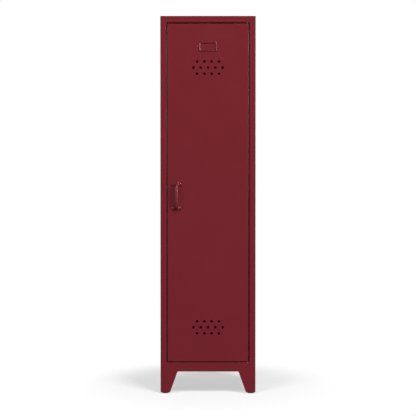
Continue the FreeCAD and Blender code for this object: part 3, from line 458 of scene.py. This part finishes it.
def foot_rings():
    """The oval foot from the door up to where the bow starts to bend: rim, soft edge and flare."""
    crown_rise = FOOT_RISE - FOOT_EDGE
    levels = [(0.0, foot_reach, FOOT_RISE)]
    for turn in divided(math.pi / 2, EDGE_STEPS):
        inset = FOOT_EDGE * (1 - math.cos(turn))
        height = FOOT_THICKNESS - FOOT_EDGE * (1 - math.sin(turn))
        levels.append((height, foot_reach - inset, FOOT_RISE - inset))
    for turn in divided(math.pi / 2, FLARE_STEPS):
        height = FOOT_THICKNESS + (bend_start - FOOT_THICKNESS) * (1 - math.cos(turn))
        spread = 1 - math.sin(turn)
        half_rise = GRIP_RADIUS + (crown_rise - GRIP_RADIUS) * spread
        levels.append((height, GRIP_RADIUS + FLARE * spread, half_rise))
    rings = []
    for height, half_width, half_rise in levels:
        centre = Vector((handle_middle.x, handle_high.y - height, foot_z))
        rings.append(oval(centre, X_AXIS, Z_AXIS, half_width, half_rise, RING_POINTS))
    return rings


def pointing(turn):
    """A direction between straight up, at zero, and straight out of the door, at a quarter turn."""
    return Z_AXIS * math.cos(turn) - Y_AXIS * math.sin(turn)


def arc_rings(pivot, radius, turns):
    """Round sections of the bow along an arc about a pivot."""
    rings = []
    for turn in turns:
        centre = pivot + pointing(turn) * radius
        rings.append(oval(centre, X_AXIS, pointing(turn), GRIP_RADIUS, GRIP_RADIUS, RING_POINTS))
    return rings


tight_pivot = Vector((handle_middle.x, handle_high.y - bend_start, foot_z - TIGHT_BEND))
easy_pivot = tight_pivot - pointing(TIGHT_TURN) * (EASY_BEND - TIGHT_BEND)
tight = arc_rings(tight_pivot, TIGHT_BEND, divided(TIGHT_TURN, BEND_STEPS)[1:])
easy_turns = [TIGHT_TURN + turn for turn in divided(math.pi / 2 - TIGHT_TURN, BEND_STEPS)[1:]]
upper_half = foot_rings() + tight + arc_rings(easy_pivot, EASY_BEND, easy_turns)
lower_half = []
for ring in reversed(upper_half):
    lower_half.append([Vector((p.x, p.y, 2 * handle_middle.z - p.z)) for p in ring])
print("handle rings:", len(upper_half) + len(lower_half))

# %% [markdown]
# Each foot is drilled for two screws, beside the neck. The drills are four turned pins, taken away in
# one cut.

# %% Handle
SCREW_HOLE = 2.15 * MM
SCREW_HEAD = (4.6 * MM, 2.6 * MM)

screw_low, screw_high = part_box("handle_screws")
screw_spread = (screw_high.x - screw_low.x) / 2 - SCREW_HEAD[0]
screw_rise = (screw_high.z - screw_low.z) / 2 - SCREW_HEAD[0]


def drills(places, radius, start, length):
    """Round pins along y at the given (x, z) places, to cut holes with."""
    pins = []
    for x, z in places:
        ends = [Vector((x, start + step, z)) for step in (0.0, length)]
        rings = [oval(end, X_AXIS, Z_AXIS, radius, radius, TURN_POINTS) for end in ends]
        pins.append(skin("drill", rings))
    return joined("drills", pins)


screw_places = [
    (handle_middle.x + side * screw_spread, handle_middle.z + end * screw_rise)
    for side in (-1, 1)
    for end in (-1, 1)
]
bow = skin("bow_handle", upper_half + lower_half)
screw_drills = drills(screw_places, SCREW_HOLE, handle_high.y - 2 * FOOT_THICKNESS, 3 * FOOT_THICKNESS)
add_piece("bow_handle", combined(bow, screw_drills, "DIFFERENCE"), "door", "powder_coat", "handle")

# %% [markdown]
# Screws, nuts and rivets repeat, so one Geometry Nodes tree lays them all out. A grid of points is made
# at the fasteners' real spacing, one finished fastener is set on each point, and a seeded random turn
# gives every screw its own angle, as a screwdriver leaves it. The whole grid is then turned to face the
# way the fasteners point and moved into place. It ends as real geometry, with its finish on it.

# %% Fastener grid
GRID_INPUTS = {
    "Fastener": "NodeSocketObject",
    "Finish": "NodeSocketMaterial",
    "Across": "NodeSocketFloat",
    "Along": "NodeSocketFloat",
    "Count across": "NodeSocketInt",
    "Count along": "NodeSocketInt",
    "Centre": "NodeSocketVector",
    "Turn": "NodeSocketVector",
    "Seed": "NodeSocketInt",
}


def fastener_grid():
    """A node tree that repeats one fastener over a grid, each with its own turn."""
    tree = bpy.data.node_groups.new("fastener_grid", "GeometryNodeTree")
    for name, kind in GRID_INPUTS.items():
        tree.interface.new_socket(name, in_out="INPUT", socket_type=kind)
    tree.interface.new_socket("Fasteners", in_out="OUTPUT", socket_type="NodeSocketGeometry")
    given = add_node(tree, "NodeGroupInput").outputs
    grid = add_node(tree, "GeometryNodeMeshGrid", {
        "Size X": given["Across"],
        "Size Y": given["Along"],
        "Vertices X": given["Count across"],
        "Vertices Y": given["Count along"],
    })
    angle = add_node(tree, "FunctionNodeRandomValue", {2: 0.0, 3: math.tau, "Seed": given["Seed"]})
    spin = add_node(tree, "ShaderNodeCombineXYZ", {"Z": angle.outputs[1]})
    one = add_node(tree, "GeometryNodeObjectInfo", {"Object": given["Fastener"]})
    placed = add_node(tree, "GeometryNodeInstanceOnPoints", {
        "Points": grid.outputs["Mesh"],
        "Instance": one.outputs["Geometry"],
        "Rotation": spin.outputs["Vector"],
    })
    moved = add_node(tree, "GeometryNodeTransform", {
        "Geometry": placed.outputs["Instances"],
        "Translation": given["Centre"],
        "Rotation": given["Turn"],
    })
    real = add_node(tree, "GeometryNodeRealizeInstances", {"Geometry": moved.outputs["Geometry"]})
    coated = add_node(tree, "GeometryNodeSetMaterial", {
        "Geometry": real.outputs["Geometry"],
        "Material": given["Finish"],
    })
    add_node(tree, "NodeGroupOutput", {"Fasteners": coated.outputs["Geometry"]})
    return tree


grid_tree = fastener_grid()
grid_sockets = {item.name: item.identifier for item in grid_tree.interface.items_tree}
print("grid inputs:", list(GRID_INPUTS))

# %% [markdown]
# The tree is used through one function. It hangs the modifier on an empty mesh, sets every input by its
# socket's identifier, evaluates it once, and keeps only the plain mesh.

# %% Laying fasteners out
FACING = {
    "-y": (math.pi / 2, 0.0, 0.0),
    "+y": (-math.pi / 2, 0.0, 0.0),
    "+z": (0.0, 0.0, 0.0),
}


def lay_out(name, fastener, slot, body, node, facing, spacing, counts, centre, seed):
    """Repeat a fastener over a grid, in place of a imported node."""
    pattern = bpy.data.objects.new("one_" + name, fastener)
    holder = bpy.data.objects.new("grid_" + name, bpy.data.meshes.new("grid_" + name))
    for piece in (pattern, holder):
        bpy.context.collection.objects.link(piece)
    step = holder.modifiers.new("fastener_grid", "NODES")
    step.node_group = grid_tree
    values = {
        "Fastener": pattern,
        "Finish": finishes[slot],
        "Across": spacing[0],
        "Along": spacing[1],
        "Count across": counts[0],
        "Count along": counts[1],
        "Centre": centre,
        "Turn": FACING[facing],
        "Seed": seed,
    }
    for title, value in values.items():
        step[grid_sockets[title]] = value
    mesh = evaluated_mesh(holder)
    for piece in (holder, pattern):
        bpy.data.objects.remove(piece)
    return add_piece(name, mesh, body, slot, node)


# %% [markdown]
# The handle's screws were driven before the locker was sprayed, so they wear the same coat. Each is a
# low domed head on a plain shank: turned from a short profile, then cut with the cross that the driver
# fits. The dome is a shallow cap, so one part of it or another always catches a lamp. The recess narrows
# towards its floor, as a driver's tip does.

# %% Handle screws
SHANK_RADIUS = 2.0 * MM
TIP_SHARE = 0.35
CAP_ANGLE = math.radians(38)
CAP_STEPS = 7
RECESS_HALF = (1.8 * MM, 0.42 * MM)
RECESS_DEPTH = 1.2 * MM
RECESS_TAPER = 0.72


def domed_screw(radius, height, shank_radius, shank_length):
    """Profile of a low domed head on its shank, from the shank's tip to the crown."""
    tip = shank_radius * TIP_SHARE
    profile = [
        (shank_radius - tip, -shank_length),
        (shank_radius, tip - shank_length),
        (shank_radius, 0.0),
        (radius, 0.0),
    ]
    ball = radius / math.sin(CAP_ANGLE)
    for step in range(CAP_STEPS):
        slope = CAP_ANGLE * (1 - step / CAP_STEPS)
        profile.append((ball * math.sin(slope), height - ball * (1 - math.cos(slope))))
    return profile


def cross_recess(height):
    """Two crossed wedges, to cut the driver's recess into a head of the given height."""
    long, short = RECESS_HALF
    corners = ((-1, -1), (1, -1), (1, 1), (-1, 1))
    ends = ((height - RECESS_DEPTH, RECESS_TAPER), (height + RECESS_DEPTH, 2 - RECESS_TAPER))
    wedges = []
    for half_x, half_y in ((long, short), (short, long)):
        rings = []
        for level, scale in ends:
            rings.append([Vector((x * half_x * scale, y * half_y * scale, level)) for x, y in corners])
        wedges.append(skin("wedge", rings))
    return combined(wedges[0], wedges[1], "UNION")


shank_length = screw_high.y - screw_low.y - SCREW_HEAD[1]
screw = turned("domed_screw", domed_screw(*SCREW_HEAD, SHANK_RADIUS, shank_length))
screw = combined(screw, cross_recess(SCREW_HEAD[1]), "DIFFERENCE")
screw_seat = Vector((handle_middle.x, screw_low.y + SCREW_HEAD[1], handle_middle.z))
lay_out("domed_screws", screw, "powder_coat", "door", "handle_screws", "-y",
        (2 * screw_spread, 2 * screw_rise), (2, 2), screw_seat, seed=4)

# %% [markdown]
# Behind the door each screw has a hexagon nut. A real nut is chamfered where the bar it was cut from was
# turned round, which leaves curved corners on both faces. A hexagon is a ring whose radius follows the
# flats, and letting the corners drop by their distance from the turned circle gives that curve exactly.

# %% Handle nuts
NUT_FLATS = 7.0 * MM
NUT_BORE = 2.05 * MM
NUT_POINTS = 72
NUT_CHAMFER = math.tan(math.radians(30))

nut_low, nut_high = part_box("handle_nuts")


def hexagon_nut(flats, bore, height):
    """A chamfered hexagon nut standing on the ground, with its bore through it."""
    turns = [math.tau * i / NUT_POINTS for i in range(NUT_POINTS)]
    sixth = math.pi / 3
    corner = [flats / 2 / math.cos((turn + sixth / 2) % sixth - sixth / 2) for turn in turns]
    drop = [(radius - flats / 2) * NUT_CHAMFER for radius in corner]
    face = [flats / 2] * NUT_POINTS
    hole = [bore] * NUT_POINTS
    zero = [0.0] * NUT_POINTS
    full = [height] * NUT_POINTS
    high = [height - step for step in drop]
    rings = []
    outline = ((hole, zero), (face, zero), (corner, drop), (corner, high), (face, full), (hole, full))
    for radii, heights in outline:
        ring = [(r * math.cos(t), r * math.sin(t), z) for r, t, z in zip(radii, turns, heights)]
        rings.append(ring)
    return skin("hexagon_nut", rings, closed=True)


nut = hexagon_nut(NUT_FLATS, NUT_BORE, nut_high.y - nut_low.y)
nut_seat = Vector((handle_middle.x, nut_low.y, handle_middle.z))
lay_out("hexagon_nuts", nut, "zinc_plated_steel", "door", "handle_nuts", "+y",
        (2 * screw_spread, 2 * screw_rise), (2, 2), nut_seat, seed=7)

# %% [markdown]
# The card frame is pressed from thin sheet: its border is folded over into a lip with soft edges that
# stands a few millimetres off the door, so that a card slides in behind it from above. It is left empty.
# The folded section is drawn once, as a band of sheet with an outside and an inside.

# %% Card frame section
LIP_WIDTH = 6.0 * MM
LIP_EDGE = 2.8 * MM
LABEL_SHEET = 1.0 * MM
EDGE_POINTS = 8
FRAME_CORNER = 2.6 * MM
INNER_CORNER = 0.4 * MM
CORNER_STEPS = 5
EAR_RADIUS = 4.5 * MM
EAR_REACH = 7.0 * MM

label_low, label_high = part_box("label_holder")
label_middle = (label_low + label_high) / 2
label_proud = label_high.y - label_low.y
label_half = Vector((label_high.x - EAR_RADIUS - EAR_REACH, 0.0, (label_high.z - label_low.z) / 2))


def folded_section():
    """The lip's section as (inwards, outwards) pairs: up the wall, over both edges, back inside."""
    wall = []
    lining = []
    thin = LIP_EDGE - LABEL_SHEET
    for turn in divided(math.pi / 2, EDGE_POINTS):
        along = 1 - math.cos(turn)
        short = 1 - math.sin(turn)
        wall.append((LIP_EDGE * along, label_proud - LIP_EDGE * short))
        lining.append((LABEL_SHEET + thin * along, label_proud - LABEL_SHEET - thin * short))
    roll = [(LIP_WIDTH - inset, height) for inset, height in reversed(wall)]
    return_edge = (LIP_WIDTH - LABEL_SHEET, label_proud - LIP_EDGE)
    hollow = [(LIP_WIDTH - inset, height) for inset, height in lining[1:]]
    outside = [(0.0, 0.0)] + wall + roll
    inside = [return_edge] + hollow + list(reversed(lining)) + [(LABEL_SHEET, 0.0)]
    return outside + inside


section = folded_section()
print("card frame:", round(label_proud / MM, 2), "mm proud,", len(section), "points in its section")

# %% [markdown]
# The section is carried round the rectangle. The slot for the card is cut along the top afterwards,
# because there the lip has no wall below it. Then the two flat ears are joined on, and drilled.

# %% Card frame
SLOT_CLEARANCE = 2.0 * MM
SLOT_DEPTH = 1.5 * MM
RIVET_HOLE = 1.65 * MM


def frame_line(inset, height):
    """The rectangle of the frame at one inset and height, with rounded corners, as points."""
    radius = max(FRAME_CORNER - inset, INNER_CORNER)
    half_x = label_half.x - inset - radius
    half_z = label_half.z - inset - radius
    points = []
    for side, (sign_x, sign_z) in enumerate(((1, 1), (-1, 1), (-1, -1), (1, -1))):
        for turn in divided(math.pi / 2, CORNER_STEPS):
            angle = turn + side * math.pi / 2
            x = sign_x * half_x + radius * math.cos(angle)
            z = sign_z * half_z + radius * math.sin(angle)
            points.append(Vector((label_middle.x + x, label_high.y - height, label_middle.z + z)))
    return points


def ear(side):
    """A flat tab at one side of the frame, rounded at its end, for a rivet."""
    rivet_x = label_high.x - EAR_RADIUS
    inner_x = label_half.x - LABEL_SHEET / 2
    outline = [(inner_x, -EAR_RADIUS)]
    for turn in divided(math.pi / 2, 2 * CORNER_STEPS):
        outline.append((rivet_x + EAR_RADIUS * math.sin(turn), -EAR_RADIUS * math.cos(turn)))
    for turn in divided(math.pi / 2, 2 * CORNER_STEPS)[1:]:
        outline.append((rivet_x + EAR_RADIUS * math.cos(turn), EAR_RADIUS * math.sin(turn)))
    outline.append((inner_x, EAR_RADIUS))
    rings = []
    for height in (0.0, LABEL_SHEET):
        y = label_high.y - height
        rings.append([Vector((label_middle.x + side * x, y, label_middle.z + z)) for x, z in outline])
    return skin("ear", rings)


def box_mesh(low, high):
    """A plain block between two corners, to cut with."""
    rings = []
    for y in (low.y, high.y):
        corners = ((low.x, low.z), (high.x, low.z), (high.x, high.z), (low.x, high.z))
        rings.append([Vector((x, y, z)) for x, z in corners])
    return skin("block", rings)


lines = [frame_line(inset, height) for inset, height in section]
card_frame = skin("card_frame", lines, closed=True)
slot_low = Vector((label_middle.x - label_half.x + SLOT_CLEARANCE,
                   label_low.y + LIP_EDGE,
                   label_high.z - SLOT_DEPTH))
slot_high = Vector((label_middle.x + label_half.x - SLOT_CLEARANCE,
                    label_high.y + LABEL_SHEET,
                    label_high.z + LABEL_SHEET))
card_frame = combined(card_frame, box_mesh(slot_low, slot_high), "DIFFERENCE")
for side in (-1, 1):
    card_frame = combined(card_frame, ear(side), "UNION")
rivet_spread = label_high.x - EAR_RADIUS
rivet_places = [(side * rivet_spread, label_middle.z) for side in (-1, 1)]
rivet_drills = drills(rivet_places, RIVET_HOLE, label_low.y, 3 * label_proud)
card_frame = combined(card_frame, rivet_drills, "DIFFERENCE")
add_piece("card_frame", card_frame, "door", "powder_coat", "label_holder")

# %% [markdown]
# Two kinds of place are riveted: the card frame's ears and the coat rail's hangers. A blind rivet has a
# low domed head with a small dimple where its mandrel snapped off, and a flattened tail behind. Turned
# from one profile, the same rivet serves both, and the grid lays them out.

# %% Rivets
RIVET_RADIUS = 1.5 * MM
RIVET_HEAD = (3.0 * MM, 1.5 * MM)
RIVET_DIMPLE = (0.75 * MM, 0.45 * MM)
TAIL_RADIUS = 2.5 * MM
TAIL_HEIGHT = 1.0 * MM
TAIL_ROUND = 0.7
HEAD_RIM = 0.15
DIMPLE_TAPER = 0.9


def blind_rivet(grip):
    """A domed rivet seated on the ground, its tail below what it grips."""
    radius, height = RIVET_HEAD
    hole, depth = RIVET_DIMPLE
    profile = [
        (TAIL_RADIUS * TAIL_ROUND, -grip - TAIL_HEIGHT),
        (TAIL_RADIUS, -grip - TAIL_HEIGHT * TAIL_ROUND),
        (TAIL_RADIUS, -grip),
        (RIVET_RADIUS, -grip),
        (RIVET_RADIUS, 0.0),
        (radius, 0.0),
    ]
    for turn in divided(math.pi / 2, EDGE_STEPS):
        rise = HEAD_RIM + (1 - HEAD_RIM) * math.sin(turn)
        profile.append((hole + (radius - hole) * math.cos(turn), height * rise))
    profile.append((hole * DIMPLE_TAPER, height - depth))
    return turned("blind_rivet", profile)


label_rivet_low, label_rivet_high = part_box("label_rivets")
label_grip = label_rivet_high.y - label_rivet_low.y - RIVET_HEAD[1] - TAIL_HEIGHT
label_seat = Vector((0.0, label_rivet_low.y + RIVET_HEAD[1], label_middle.z))
lay_out("card_frame_rivets", blind_rivet(label_grip), "powder_coat", "door", "label_rivets", "-y",
        (2 * rivet_spread, 0.0), (2, 1), label_seat, seed=11)

rail_low, rail_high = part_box("rail_rivets")
rail_grip = rail_high.z - rail_low.z - RIVET_HEAD[1] - TAIL_HEIGHT
rail_seat = (rail_low + rail_high) / 2
rail_seat.z = rail_high.z - RIVET_HEAD[1]
rail_spacing = (
    rail_high.x - rail_low.x - 2 * RIVET_HEAD[0],
    rail_high.y - rail_low.y - 2 * RIVET_HEAD[0],
)
lay_out("hanger_rivets", blind_rivet(rail_grip), "zinc_plated_steel", "carcass", "rail_rivets", "+z",
        rail_spacing, (2, 2), rail_seat, seed=13)

# %% [markdown]
# Each leg stands on a levelling foot: a moulded pad on a threaded stud, which is turned by hand from
# below. So that fingers can turn it, the pad's rim is fluted. Its rings are circles whose radius dips at
# every flute, fully on the side wall and not at all where the rim rounds over to the face it stands on.

# %% Foot pads
FLUTES = 18
FLUTE_POINTS = 8
FLUTE_DEPTH = 0.9 * MM
PAD_RIM = 2.5 * MM
PAD_EDGE = 1.2 * MM
SOCKET_RADIUS = 4.05 * MM
SOCKET_FLOOR = 3.0 * MM
FEET = ("front_left", "front_right", "rear_left", "rear_right")


def fluted_ring(centre, radius, height, depth):
    """A circle that dips inwards at every flute."""
    count = FLUTES * FLUTE_POINTS
    points = []
    for i in range(count):
        turn = math.tau * i / count
        r = radius - depth * (0.5 - 0.5 * math.cos(FLUTES * turn))
        points.append(Vector((centre.x + r * math.cos(turn), centre.y + r * math.sin(turn), height)))
    return points


def foot_pad(corner):
    """The pad of one foot: a rounded foot face, a fluted rim, and a socket for the stud."""
    low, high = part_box("foot_pad_" + corner)
    centre = (low + high) / 2
    radius = (high.x - low.x) / 2
    levels = []
    for turn in divided(math.pi / 2, EDGE_STEPS):
        inset = PAD_RIM * (1 - math.sin(turn))
        height = low.z + PAD_RIM * (1 - math.cos(turn))
        levels.append((radius - inset, height, FLUTE_DEPTH * math.sin(turn) ** 2))
    for turn in divided(math.pi / 2, EDGE_STEPS):
        inset = PAD_EDGE * (1 - math.cos(turn))
        height = high.z - PAD_EDGE * (1 - math.sin(turn))
        levels.append((radius - inset, height, FLUTE_DEPTH * math.cos(turn) ** 2))
    levels += [(SOCKET_RADIUS, high.z, 0.0), (SOCKET_RADIUS, low.z + SOCKET_FLOOR, 0.0)]
    return skin("levelling_pad_" + corner, [fluted_ring(centre, r, z, depth) for r, z, depth in levels])


for corner in FEET:
    add_piece("levelling_pad_" + corner, foot_pad(corner), "foot_" + corner, "black_pad",
              "foot_pad_" + corner)

# %% [markdown]
# The stud is M8, a thread of 1.25 mm pitch. A thread is one groove wound round a bar, so its skin is a
# set of rings that each end one pitch higher than they began: the last point of a ring joins the first
# point of the ring one pitch up. Four rings to a pitch draw the flat crest, the flank and the root. The
# ends are sliced flat and closed, and the radius is held down at the tip to give the lead-in chamfer.

# %% Foot studs
THREAD_PITCH = 1.25 * MM
THREAD_DEPTH = 0.7 * MM
THREAD_POINTS = 28
THREAD_STEPS = ((0.0, 0.0), (0.125, 0.0), (0.4375, 1.0), (0.6875, 1.0))
TIP_CHAMFER = 1.2 * MM


def thread_skin(centre, radius, low, high):
    """A helical skin that reaches past both ends of the stud."""
    pitches = math.ceil((high - low) / THREAD_PITCH) + 3
    points = []
    for pitch in range(pitches):
        for share, depth in THREAD_STEPS:
            for i in range(THREAD_POINTS):
                turn = math.tau * i / THREAD_POINTS
                z = low + THREAD_PITCH * (pitch - 2 + share + i / THREAD_POINTS)
                r = radius - THREAD_DEPTH * depth
                r = min(r, radius - TIP_CHAMFER + max(high - z, 0.0))
                points.append((centre.x + r * math.cos(turn), centre.y + r * math.sin(turn), z))
    faces = []
    rows = len(THREAD_STEPS)
    for row in range(rows * (pitches - 1) - 1):
        for i in range(THREAD_POINTS):
            near = row * THREAD_POINTS + i
            step = 1 if i < THREAD_POINTS - 1 else rows * THREAD_POINTS - THREAD_POINTS + 1
            faces.append((near, near + step, near + step + THREAD_POINTS, near + THREAD_POINTS))
    mesh = bpy.data.meshes.new("thread")
    mesh.from_pydata(points, [], faces)
    return mesh


def foot_stud(corner):
    """The threaded stud of one foot, sliced flat and closed at both ends."""
    low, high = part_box("foot_stud_" + corner)
    thread = thread_skin((low + high) / 2, (high.x - low.x) / 2, low.z, high.z)
    shape = bmesh.new()
    shape.from_mesh(thread)
    for level, outward in ((low.z, -1), (high.z, 1)):
        whole = shape.verts[:] + shape.edges[:] + shape.faces[:]
        cut = bmesh.ops.bisect_plane(shape, geom=whole, plane_co=(0, 0, level), plane_no=(0, 0, outward),
                                     clear_outer=True)
        rim = [item for item in cut["geom_cut"] if isinstance(item, bmesh.types.BMEdge)]
        bmesh.ops.holes_fill(shape, edges=rim)
    shape.to_mesh(thread)
    shape.free()
    return tidied(thread)


for corner in FEET:
    add_piece("threaded_stud_" + corner, foot_stud(corner), "foot_" + corner, "zinc_plated_steel",
              "foot_stud_" + corner)

# %% [markdown]
# The locker stands on a plain pale floor that runs on as a white sweep. The floor has to do two jobs:
# to the camera it is white but keeps the soft shadow below the locker, and to the locker it is only a
# pale card that throws some light back up. Light Path tells the two apart. Close to the locker the
# camera sees lit paper that also glows, and further out it fades to plain white. In the coat's
# reflections the floor is as dim as the rest of the studio, so that the red stays deep from all sides.

# %% Studio floor
FLOOR_HALF = 9.0
SHADOW_CENTRE = Vector((0.0, 0.08, 0.0))
SHADOW_REACH = (0.33, 0.70)
PAPER = 0.48
GLOW = 0.56
BOUNCE = 0.20
ROOM_LEVEL = 0.24
WHITE = (1.0, 1.0, 1.0, 1.0)


def studio_floor():
    """A pale floor that keeps the locker's shadow and fades to white away from it."""
    mesh = bpy.data.meshes.new("studio_floor")
    corners = [(x * FLOOR_HALF, y * FLOOR_HALF, 0.0) for x, y in ((-1, -1), (1, -1), (1, 1), (-1, 1))]
    mesh.from_pydata(corners, [], [(0, 1, 2, 3)])
    floor = bpy.data.objects.new("studio_floor", mesh)
    bpy.context.collection.objects.link(floor)
    material, tree, shader, place = new_material("pale_studio_floor")
    tree.nodes.remove(shader)
    path = add_node(tree, "ShaderNodeLightPath").outputs
    away = add_node(tree, "ShaderNodeVectorMath", {0: place, 1: SHADOW_CENTRE}, operation="DISTANCE")
    reach = {"Value": away.outputs["Value"], "From Min": SHADOW_REACH[0], "From Max": SHADOW_REACH[1]}
    fade = add_node(tree, "ShaderNodeMapRange", reach, interpolation_type="SMOOTHSTEP")
    lit = add_node(tree, "ShaderNodeBsdfDiffuse", {"Color": (PAPER, PAPER, PAPER, 1.0)})
    glow = add_node(tree, "ShaderNodeEmission", {"Color": WHITE, "Strength": GLOW})
    paper = add_node(tree, "ShaderNodeAddShader", {0: lit.outputs[0], 1: glow.outputs[0]})
    white = add_node(tree, "ShaderNodeEmission", {"Color": WHITE, "Strength": 1.0})
    shades = {0: fade.outputs[0], 1: paper.outputs[0], 2: white.outputs[0]}
    shown = add_node(tree, "ShaderNodeMixShader", shades)
    mirrored = add_node(tree, "ShaderNodeEmission", {"Color": WHITE, "Strength": ROOM_LEVEL})
    bounce = add_node(tree, "ShaderNodeBsdfDiffuse", {"Color": (BOUNCE, BOUNCE, BOUNCE, 1.0)})
    gloss = add_node(tree, "ShaderNodeMath", {0: path["Is Glossy Ray"], 1: path["Is Transmission Ray"]})
    shades = {0: gloss.outputs[0], 1: bounce.outputs[0], 2: mirrored.outputs[0]}
    inside = add_node(tree, "ShaderNodeMixShader", shades)
    shades = {0: path["Is Camera Ray"], 1: inside.outputs[0], 2: shown.outputs[0]}
    seen = add_node(tree, "ShaderNodeMixShader", shades)
    tree.links.new(seen.outputs[0], tree.nodes["Material Output"].inputs["Surface"])
    mesh.materials.append(material)
    return floor


floor = studio_floor()
print("floor", 2 * FLOOR_HALF, "m square")

# %% [markdown]
# The world does the same for what lies beyond the floor: white to the camera, a little even fill for
# diffuse light, and a dim room in the coat's reflections. Only a low band of the room behind the locker
# is pale, like the foot of a lit sweep. It shows along the rounded flanks of the handle.

# %% Studio world
AMBIENT = 0.06
SWEEP_RISE = (0.08, 0.16)


def studio_world():
    """White to the camera, a little even fill for the locker, and a dim room in reflections."""
    world = bpy.data.worlds.new("studio")
    world.use_nodes = True
    tree = world.node_tree
    ambient = tree.nodes["Background"]
    fill(tree, ambient, {"Color": WHITE, "Strength": AMBIENT})
    path = add_node(tree, "ShaderNodeLightPath").outputs
    heading = add_node(tree, "ShaderNodeTexCoord").outputs["Generated"]
    split = add_node(tree, "ShaderNodeSeparateXYZ", {"Vector": heading}).outputs
    rise = add_node(tree, "ShaderNodeMath", {0: split["Z"]}, operation="ABSOLUTE")
    sweep = add_node(tree, "ShaderNodeMapRange", {
        "Value": rise.outputs[0],
        "From Min": SWEEP_RISE[0],
        "From Max": SWEEP_RISE[1],
        "To Min": 1.0,
        "To Max": ROOM_LEVEL,
    })
    level = add_node(tree, "ShaderNodeMapRange", {
        "Value": split["Y"],
        "From Min": -1.0,
        "To Min": ROOM_LEVEL,
        "To Max": sweep.outputs["Result"],
    })
    room = add_node(tree, "ShaderNodeBackground", {"Color": WHITE, "Strength": level.outputs["Result"]})
    white = add_node(tree, "ShaderNodeBackground", {"Color": WHITE, "Strength": 1.0})
    gloss = add_node(tree, "ShaderNodeMath", {0: path["Is Glossy Ray"], 1: path["Is Transmission Ray"]})
    shades = {0: gloss.outputs[0], 1: ambient.outputs[0], 2: room.outputs[0]}
    inside = add_node(tree, "ShaderNodeMixShader", shades)
    shades = {0: path["Is Camera Ray"], 1: inside.outputs[0], 2: white.outputs[0]}
    seen = add_node(tree, "ShaderNodeMixShader", shades)
    tree.links.new(seen.outputs[0], tree.nodes["World Output"].inputs["Surface"])
    return world


bpy.context.scene.world = studio_world()
print("fill light", AMBIENT)

# %% [markdown]
# The light is read from the handle in the picture. Its bar throws two soft upright shadows on the door,
# a darker one to the left and a paler one to the right. So a tall panel stands low at the right, and a
# weaker one a little higher at the left. Short shadows under the handle's feet and the card frame, and
# a bright spot at the top of the bar, show a compact softbox high in front, a little to the right. Two
# large ones hang high behind, so that the back and the sides are lit in other views. Seen from behind,
# the flat top would mirror the lamps in front as plain white, so these leave it out, and it has a lamp
# of its own that gives no glare. On the floor the locker throws a soft shadow to each side: two lamps
# that light the floor alone make these. A level is the share of full light that a softbox gives to a
# surface facing it: at full light a colour shows as it is written.

# %% Softboxes
LAMP_DISTANCE = 11.0
AIM = Vector((0.0, front_y, 1.0))


def light_rule(name, state, *objects):
    """A collection that makes a lamp light only these objects, or everything but these."""
    rule = bpy.data.collections.new(name)
    for place, item in enumerate(objects):
        rule.objects.link(item)
        rule.collection_objects[place].light_linking.link_state = state
    return rule


def softbox(name, azimuth, elevation, level, size, rule=None):
    """A softbox at an angle round the locker and above the ground, aimed at the middle of the door."""
    around = Matrix.Rotation(math.radians(azimuth), 3, "Z")
    above = Matrix.Rotation(math.radians(-elevation), 3, "X")
    towards = around @ above @ Vector((0.0, -1.0, 0.0))
    light = bpy.data.lights.new(name, "AREA")
    light.shape = "RECTANGLE"
    light.size, light.size_y = size
    light.energy = level * (math.pi * LAMP_DISTANCE) ** 2
    lamp = bpy.data.objects.new(name, light)
    lamp.location = AIM + towards * LAMP_DISTANCE
    lamp.rotation_euler = towards.to_track_quat("Z", "Y").to_euler()
    lamp.light_linking.receiver_collection = rule
    bpy.context.collection.objects.link(lamp)
    print(name, tuple(round(v, 2) for v in lamp.location), round(light.energy), "W")
    return lamp


lid = nodes["top_panel"]
not_floor = light_rule("not_the_floor", "EXCLUDE", floor)
not_lid = light_rule("not_the_floor_or_lid", "EXCLUDE", floor, lid)
only_floor = light_rule("only_the_floor", "INCLUDE", floor)
only_lid = light_rule("only_the_lid", "INCLUDE", lid)
softbox("panel_right", 42, 13, 0.58, (2.2, 4.4), not_lid)
softbox("panel_left", -37, 20, 0.26, (2.5, 4.8), not_lid)
softbox("high_front", 17, 46, 0.52, (1.4, 1.4), not_lid)
softbox("lid_front", 0, 30, 1.10, (3.6, 3.6), only_lid).visible_glossy = False
softbox("behind_right", 145, 50, 0.70, (7.0, 7.0), not_floor)
softbox("behind_left", -145, 50, 0.70, (7.0, 7.0), not_floor)
softbox("floor_right", 36, 50, 0.70, (3.6, 3.6), only_floor)
softbox("floor_left", -37, 50, 0.37, (3.6, 3.6), only_floor)
bpy.context.scene.view_settings.view_transform = "Standard"
